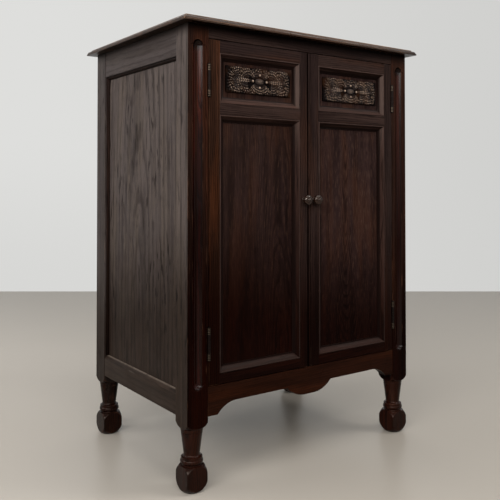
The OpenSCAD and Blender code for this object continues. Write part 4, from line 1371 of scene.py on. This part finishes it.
@dataclass
class Metalwork:
    """Hinges, pins, catches and strike plates of aged brass, with their screws."""

    head: float = 2.4 * MM
    small_head: float = 0.7  # size of the strike plates' screws, as a share of the others'
    head_depth: float = 0.6 * MM
    slot: float = 0.7 * MM
    slot_depth: float = 0.4 * MM
    proud: float = 0.12 * MM
    pin: float = 1.1 * MM
    brad_step: float = 82 * MM
    brad_inset: float = 5.5 * MM
    leaf_y: float = FRONT + 10.8 * MM
    door_leaf_x: float = 252.8 * MM
    post_leaf_x: float = 254 * MM
    strike_y: float = FRONT + 10 * MM
    strike_z: float = 865 * MM

    # how far each screw of a leaf stands above its middle and behind leaf_y
    LEAF_SCREWS = ((-22.5 * MM, 1.5 * MM), (0.0, -2.0 * MM), (22.5 * MM, 1.5 * MM))
    STRIKE_SCREWS = (51.5 * MM, 68.5 * MM)
    LEVELS = ("upper", "lower")
    CORNERS = 20
    SMOOTH_TO = 40.0

    def build(self) -> None:
        """Dress every metal piece and drive the screws."""
        dull, bright = (AGED_BRASS.material(shine) for shine in (0.25, 0.6))
        for side in Side:
            for level in self.LEVELS:
                low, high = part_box(f"{side.word}_{level}_frame_leaf")
                ringed = HINGE_BRASS.material(0.0, (low.z, high.z))
                for part in ("frame", "door"):
                    self.dress(f"{side.word}_{level}_{part}_leaf", ringed)
            self.dress(f"{side.word}_catch_barrel", dull)
            self.dress(f"{side.word}_catch_ball", bright)
            self.drive(f"{side.word}_door_leaf_screws", f"{side.word}_door", 0.5, self.head,
                       self.leaf_spots(side, self.door_leaf_x, 1.0))
        self.dress("hinge_pins", HINGE_BRASS.material(0.2))
        self.dress("strike_plates", dull)
        self.frame_screws()
        self.back_brads()

    def dress(self, node: str, finish: bpy.types.Material) -> None:
        """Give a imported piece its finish.

        Args:
            node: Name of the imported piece.
            finish: Its material.
        """
        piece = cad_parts[node]
        piece.data.materials.clear()
        piece.data.materials.append(finish)
        LOG.info("%s: dressed", node)

    def screw(self, radius: float, slotted: bool) -> Piece:
        """Make one screw head at the origin, looking along +Z, its top slightly proud.

        Args:
            radius: Radius of the head.
            slotted: Whether it has a slot.

        Returns:
            The head.
        """
        Bench.clear()
        bpy.ops.mesh.primitive_cylinder_add(vertices=self.CORNERS, radius=radius,
                                            depth=self.head_depth,
                                            location=(0, 0, self.proud - self.head_depth / 2))
        head = bpy.context.object
        bpy.ops.object.transform_apply(location=True, rotation=True, scale=True)
        if slotted:
            bpy.ops.object.mode_set(mode="EDIT")
            for place in (-self.slot / 2, self.slot / 2):
                bpy.ops.mesh.select_all(action="SELECT")
                bpy.ops.mesh.bisect(plane_co=(0, place, 0), plane_no=(0, 1, 0))
            bpy.ops.mesh.select_mode(type="VERT")
            bpy.ops.object.mode_set(mode="OBJECT")
            for corner in head.data.vertices:
                corner.select = corner.co.z > 0 and abs(corner.co.y) < 0.6 * self.slot
            bpy.ops.object.mode_set(mode="EDIT")
            bpy.ops.mesh.select_mode(type="FACE")
            bpy.ops.mesh.extrude_region_move(
                TRANSFORM_OT_translate={"value": (0, 0, -self.slot_depth)})
            bpy.ops.object.mode_set(mode="OBJECT")
        return head

    def drive(self, name: str, body: str, shine: float, radius: float, spots: Spots,
              slotted: bool = True) -> None:
        """Set a row of steel screw heads into one body.

        Args:
            name: Name of the row.
            body: The body that it rides on.
            shine: Share of the heads that is rubbed bright.
            radius: Radius of the heads.
            spots: Place and outward direction of each head.
            slotted: Whether the heads have slots.
        """
        finish = STEEL.material(shine)
        chance = random.Random(len(spots) * 31 + len(name))
        first = self.screw(radius, slotted)
        heads = []
        for place, outward in spots:
            head = Bench.put(name, first.data.copy())
            turn = outward.to_track_quat("Z", "Y").to_matrix().to_4x4()
            spin = Matrix.Rotation(chance.uniform(0, math.pi), 4, "Z")
            head.data.transform(Matrix.Translation(place) @ turn @ spin)
            heads.append(head)
        bpy.data.objects.remove(first)
        Bench.take(*heads)
        bpy.ops.object.join()
        piece = heads[0]
        piece.name = name
        piece.data.materials.append(finish)
        Bench.smooth(piece, self.SMOOTH_TO)
        Bench.hand_in(piece, body, "aged_brass")

    def leaf_spots(self, side: Side, face_x: float, facing: float) -> Spots:
        """List the screws of the two leaves on one side.

        Args:
            side: Side of the cabinet.
            face_x: Distance of the leaves' faces from the middle of the cabinet.
            facing: 1.0 where they look away from the middle, -1.0 where they look to it.

        Returns:
            Place and outward direction of each screw.
        """
        spots = []
        for level in self.LEVELS:
            low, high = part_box(f"{side.word}_{level}_frame_leaf")
            middle = (low.z + high.z) / 2
            spots += [(Vector((side.value * face_x, self.leaf_y + back, middle + up)),
                       Vector((side.value * facing, 0, 0))) for up, back in self.LEAF_SCREWS]
        return spots

    def frame_screws(self) -> None:
        """Drive the screws of the leaves on the posts and of the strike plates."""
        spots = [spot for side in Side for spot in self.leaf_spots(side, self.post_leaf_x, -1.0)]
        self.drive("post_leaf_screws", "cabinet", 0.45, self.head, spots)
        spots = [(Vector((side.value * x, self.strike_y, self.strike_z)), Vector((0, 0, -1)))
                 for side in Side for x in self.STRIKE_SCREWS]
        self.drive("strike_plate_screws", "cabinet", 0.4, self.head * self.small_head, spots)

    def back_brads(self) -> None:
        """Drive the brads round the back panel."""
        low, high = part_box("back_panel")
        columns, rows = (round(size / self.brad_step) for size in (high.x - low.x, high.z - low.z))
        left, right = low.x + self.brad_inset, high.x - self.brad_inset
        foot, top = low.z + self.brad_inset, high.z - self.brad_inset
        places = [(x, foot + (top - foot) * row / rows)
                  for row in range(rows + 1) for x in (left, right)]
        places += [(left + (right - left) * column / columns, z)
                   for column in range(1, columns) for z in (foot, top)]
        spots = [(Vector((x, high.y, z)), Vector((0, 1, 0))) for x, z in places]
        self.drive("back_panel_brads", "cabinet", 0.35, self.pin, spots, False)


# ---------------------------------------------------------------- studio


@dataclass
class Studio:
    """Pale floor, pale backdrop, soft lights and the camera."""

    lens: float = 49.5
    camera_shift: float = -0.158
    camera_at: Point = (-0.9567, -1.3322, 0.5846)
    camera_tilt: float = 91.05
    camera_turn: float = -35.57
    wall_away: float = 3.74
    wall_half: float = 5.0
    wall_high: float = 4.0
    wall_tone: Colour = tone(222, 222, 220)
    wall_shade: Colour = tone(208, 208, 206)
    floor_size: float = 24.0
    floor_tone: Colour = tone(187, 179, 168)
    floor_patch: Colour = tone(165, 155, 143)
    floor_left: Colour = tone(146, 138, 126)
    floor_right: Colour = tone(164, 156, 145)
    floor_bounce: Colour = tone(86, 82, 77)
    room_light: Colour = (1.0, 0.99, 0.98, 1.0)
    room_power: float = 0.1

    # name, place, the point it faces, width, power in watts, height as a share of its width
    LAMPS = (
        ("key", (-2.5, -1.65, 1.75), (-0.1, -0.2, 1.0), 2.6, 76.0, 0.4),
        ("front", (-0.9, -3.3, 1.86), (-0.1, -0.2, 1.0), 2.0, 30.0, 0.5),
        ("left", (-2.4, 0.9, 1.4), (-0.3, 0.0, 0.6), 1.2, 20.0, 1.0),
        ("spark", (-1.7, -2.7, 2.5), (-0.1, -0.2, 0.5), 0.11, 10.0, 1.0),
        ("top", (0.1, -0.3, 2.5), (0.0, 0.0, 0.5), 1.6, 22.0, 1.0),
        ("right", (1.6, -1.5, 2.5), (-0.05, -0.2, 0.5), 0.9, 28.0, 1.0),
        ("back", (0.9, 2.2, 2.1), (0.0, 0.2, 0.6), 1.4, 20.0, 1.0),
    )

    def build(self) -> None:
        """Set up the room, the lights and the camera."""
        self.camera()
        self.floor()
        self.wall()
        for name, place, aim, size, power, squat in self.LAMPS:
            self.lamp(name, Vector(place), Vector(aim), size, power, squat)
        self.world()

    def camera(self) -> None:
        """Place the camera as the photographer stood."""
        data = bpy.data.cameras.new("camera")
        data.lens = self.lens
        data.sensor_width = 36.0
        data.shift_y = self.camera_shift
        camera = Bench.put("camera", data)
        camera.location = self.camera_at
        camera.rotation_euler = (math.radians(self.camera_tilt), 0.0,
                                 math.radians(self.camera_turn))
        bpy.context.scene.camera = camera

    @staticmethod
    def plane(name: str, size: float) -> Piece:
        """Lay a square sheet on the ground round the origin.

        Args:
            name: Its name.
            size: Length of its sides.

        Returns:
            The sheet.
        """
        Bench.clear()
        bpy.ops.mesh.primitive_plane_add(size=size, location=(0, 0, 0))
        sheet = bpy.context.object
        sheet.name = name
        return sheet

    def floor(self) -> None:
        """Lay the plain pale floor, which lights the cabinet less than it shows."""
        floor = self.plane("floor", self.floor_size)
        shader = Shader("floor")
        across = shader.split(shader.place)[0]
        colour = self.floor_tone
        for shade, share in (
            (self.floor_patch, shader.band(shader.noise(shader.place, 1.5), 0.3, 0.7, 0.0, 0.15)),
            (self.floor_left, shader.band(across, -1.7, -0.5, 0.6, 0.0)),
            (self.floor_right, shader.band(across, -0.6, 0.45)),
        ):
            colour = shader.blend(share, colour, shade)
        colour = shader.blend(shader.seen(), self.floor_bounce, colour)
        shader.set(Base_Color=colour, Roughness=0.32, Specular_IOR_Level=0.3)
        floor.data.materials.append(shader.material)

    def wall(self) -> None:
        """Stand a glowing, paint-shaded wall square to the camera's view, unseen from its back."""
        wall = self.plane("wall", 1.0)
        turn = math.radians(self.camera_turn)
        away = Vector((-math.sin(turn), math.cos(turn), 0.0))
        along = Vector((away.y, -away.x, 0.0))
        middle = Vector(self.camera_at) + away * self.wall_away
        corners = ((-1, 0), (1, 0), (-1, 1), (1, 1))
        for vertex, (side, up) in zip(wall.data.vertices, corners):
            spot = middle + along * side * self.wall_half
            vertex.co = (spot.x, spot.y, up * self.wall_high)
        wall.data.update()
        shader = Shader("wall")
        shader.set(Base_Color=self.wall_tone, Roughness=0.9)
        across, _, up = shader.split(shader.place)
        # Painted shade: the wall's glow dims towards the right and towards the floor.
        dim = shader.math("MAXIMUM", shader.band(across, 0.2, 2.6),
                          shader.band(up, 0.0, 0.9, 0.5, 0.0))
        glow = shader.node("ShaderNodeEmission", shader.blend(dim, self.wall_tone, self.wall_shade))
        clear = shader.node("ShaderNodeBsdfTransparent")
        front = shader.mix(shader.seen(), shader.surface.outputs[0], glow.outputs[0])
        behind = shader.node("ShaderNodeNewGeometry").outputs["Backfacing"]
        shader.feed(shader.output.inputs["Surface"], shader.mix(behind, front, clear.outputs[0]))
        wall.data.materials.append(shader.material)

    def lamp(self, name: str, place: Vector, aim: Vector, size: float, power: float,
             squat: float) -> None:
        """Hang one soft lamp.

        Args:
            name: Name of the lamp.
            place: Where it hangs.
            aim: The point it faces.
            size: Its width in metres.
            power: Its power in watts.
            squat: Its height as a share of its width.
        """
        data = bpy.data.lights.new(name, "AREA")
        data.shape = "RECTANGLE"
        data.size = size
        data.size_y = size * squat
        data.energy = power
        lamp = Bench.put(name, data)
        lamp.location = place
        lamp.rotation_euler = (aim - place).to_track_quat("-Z", "Y").to_euler()

    def world(self) -> None:
        """Set the even light of the room, dimmer than the room looks."""
        world = bpy.data.worlds.new("room")
        bpy.context.scene.world = world
        world.use_nodes = True
        tree = Tree(world.node_tree)
        lit = tree.node("ShaderNodeBackground", self.room_light, self.room_power)
        shown = tree.node("ShaderNodeBackground", self.wall_tone)
        tree.node("ShaderNodeOutputWorld",
                  tree.mix(tree.seen(), lit.outputs[0], shown.outputs[0]))
        bpy.context.scene.view_settings.view_transform = "Standard"


def main() -> None:
    """Build the dressed cabinet and its studio."""
    logging.basicConfig(level=logging.INFO, format="%(name)s: %(message)s")
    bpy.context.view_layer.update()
    Studio().build()
    Carcass().build()
    Interior().build()
    for side in Side:
        Door(side).build()
    Metalwork().build()
    Bench.clear()


if __name__ == "__main__":
    main()
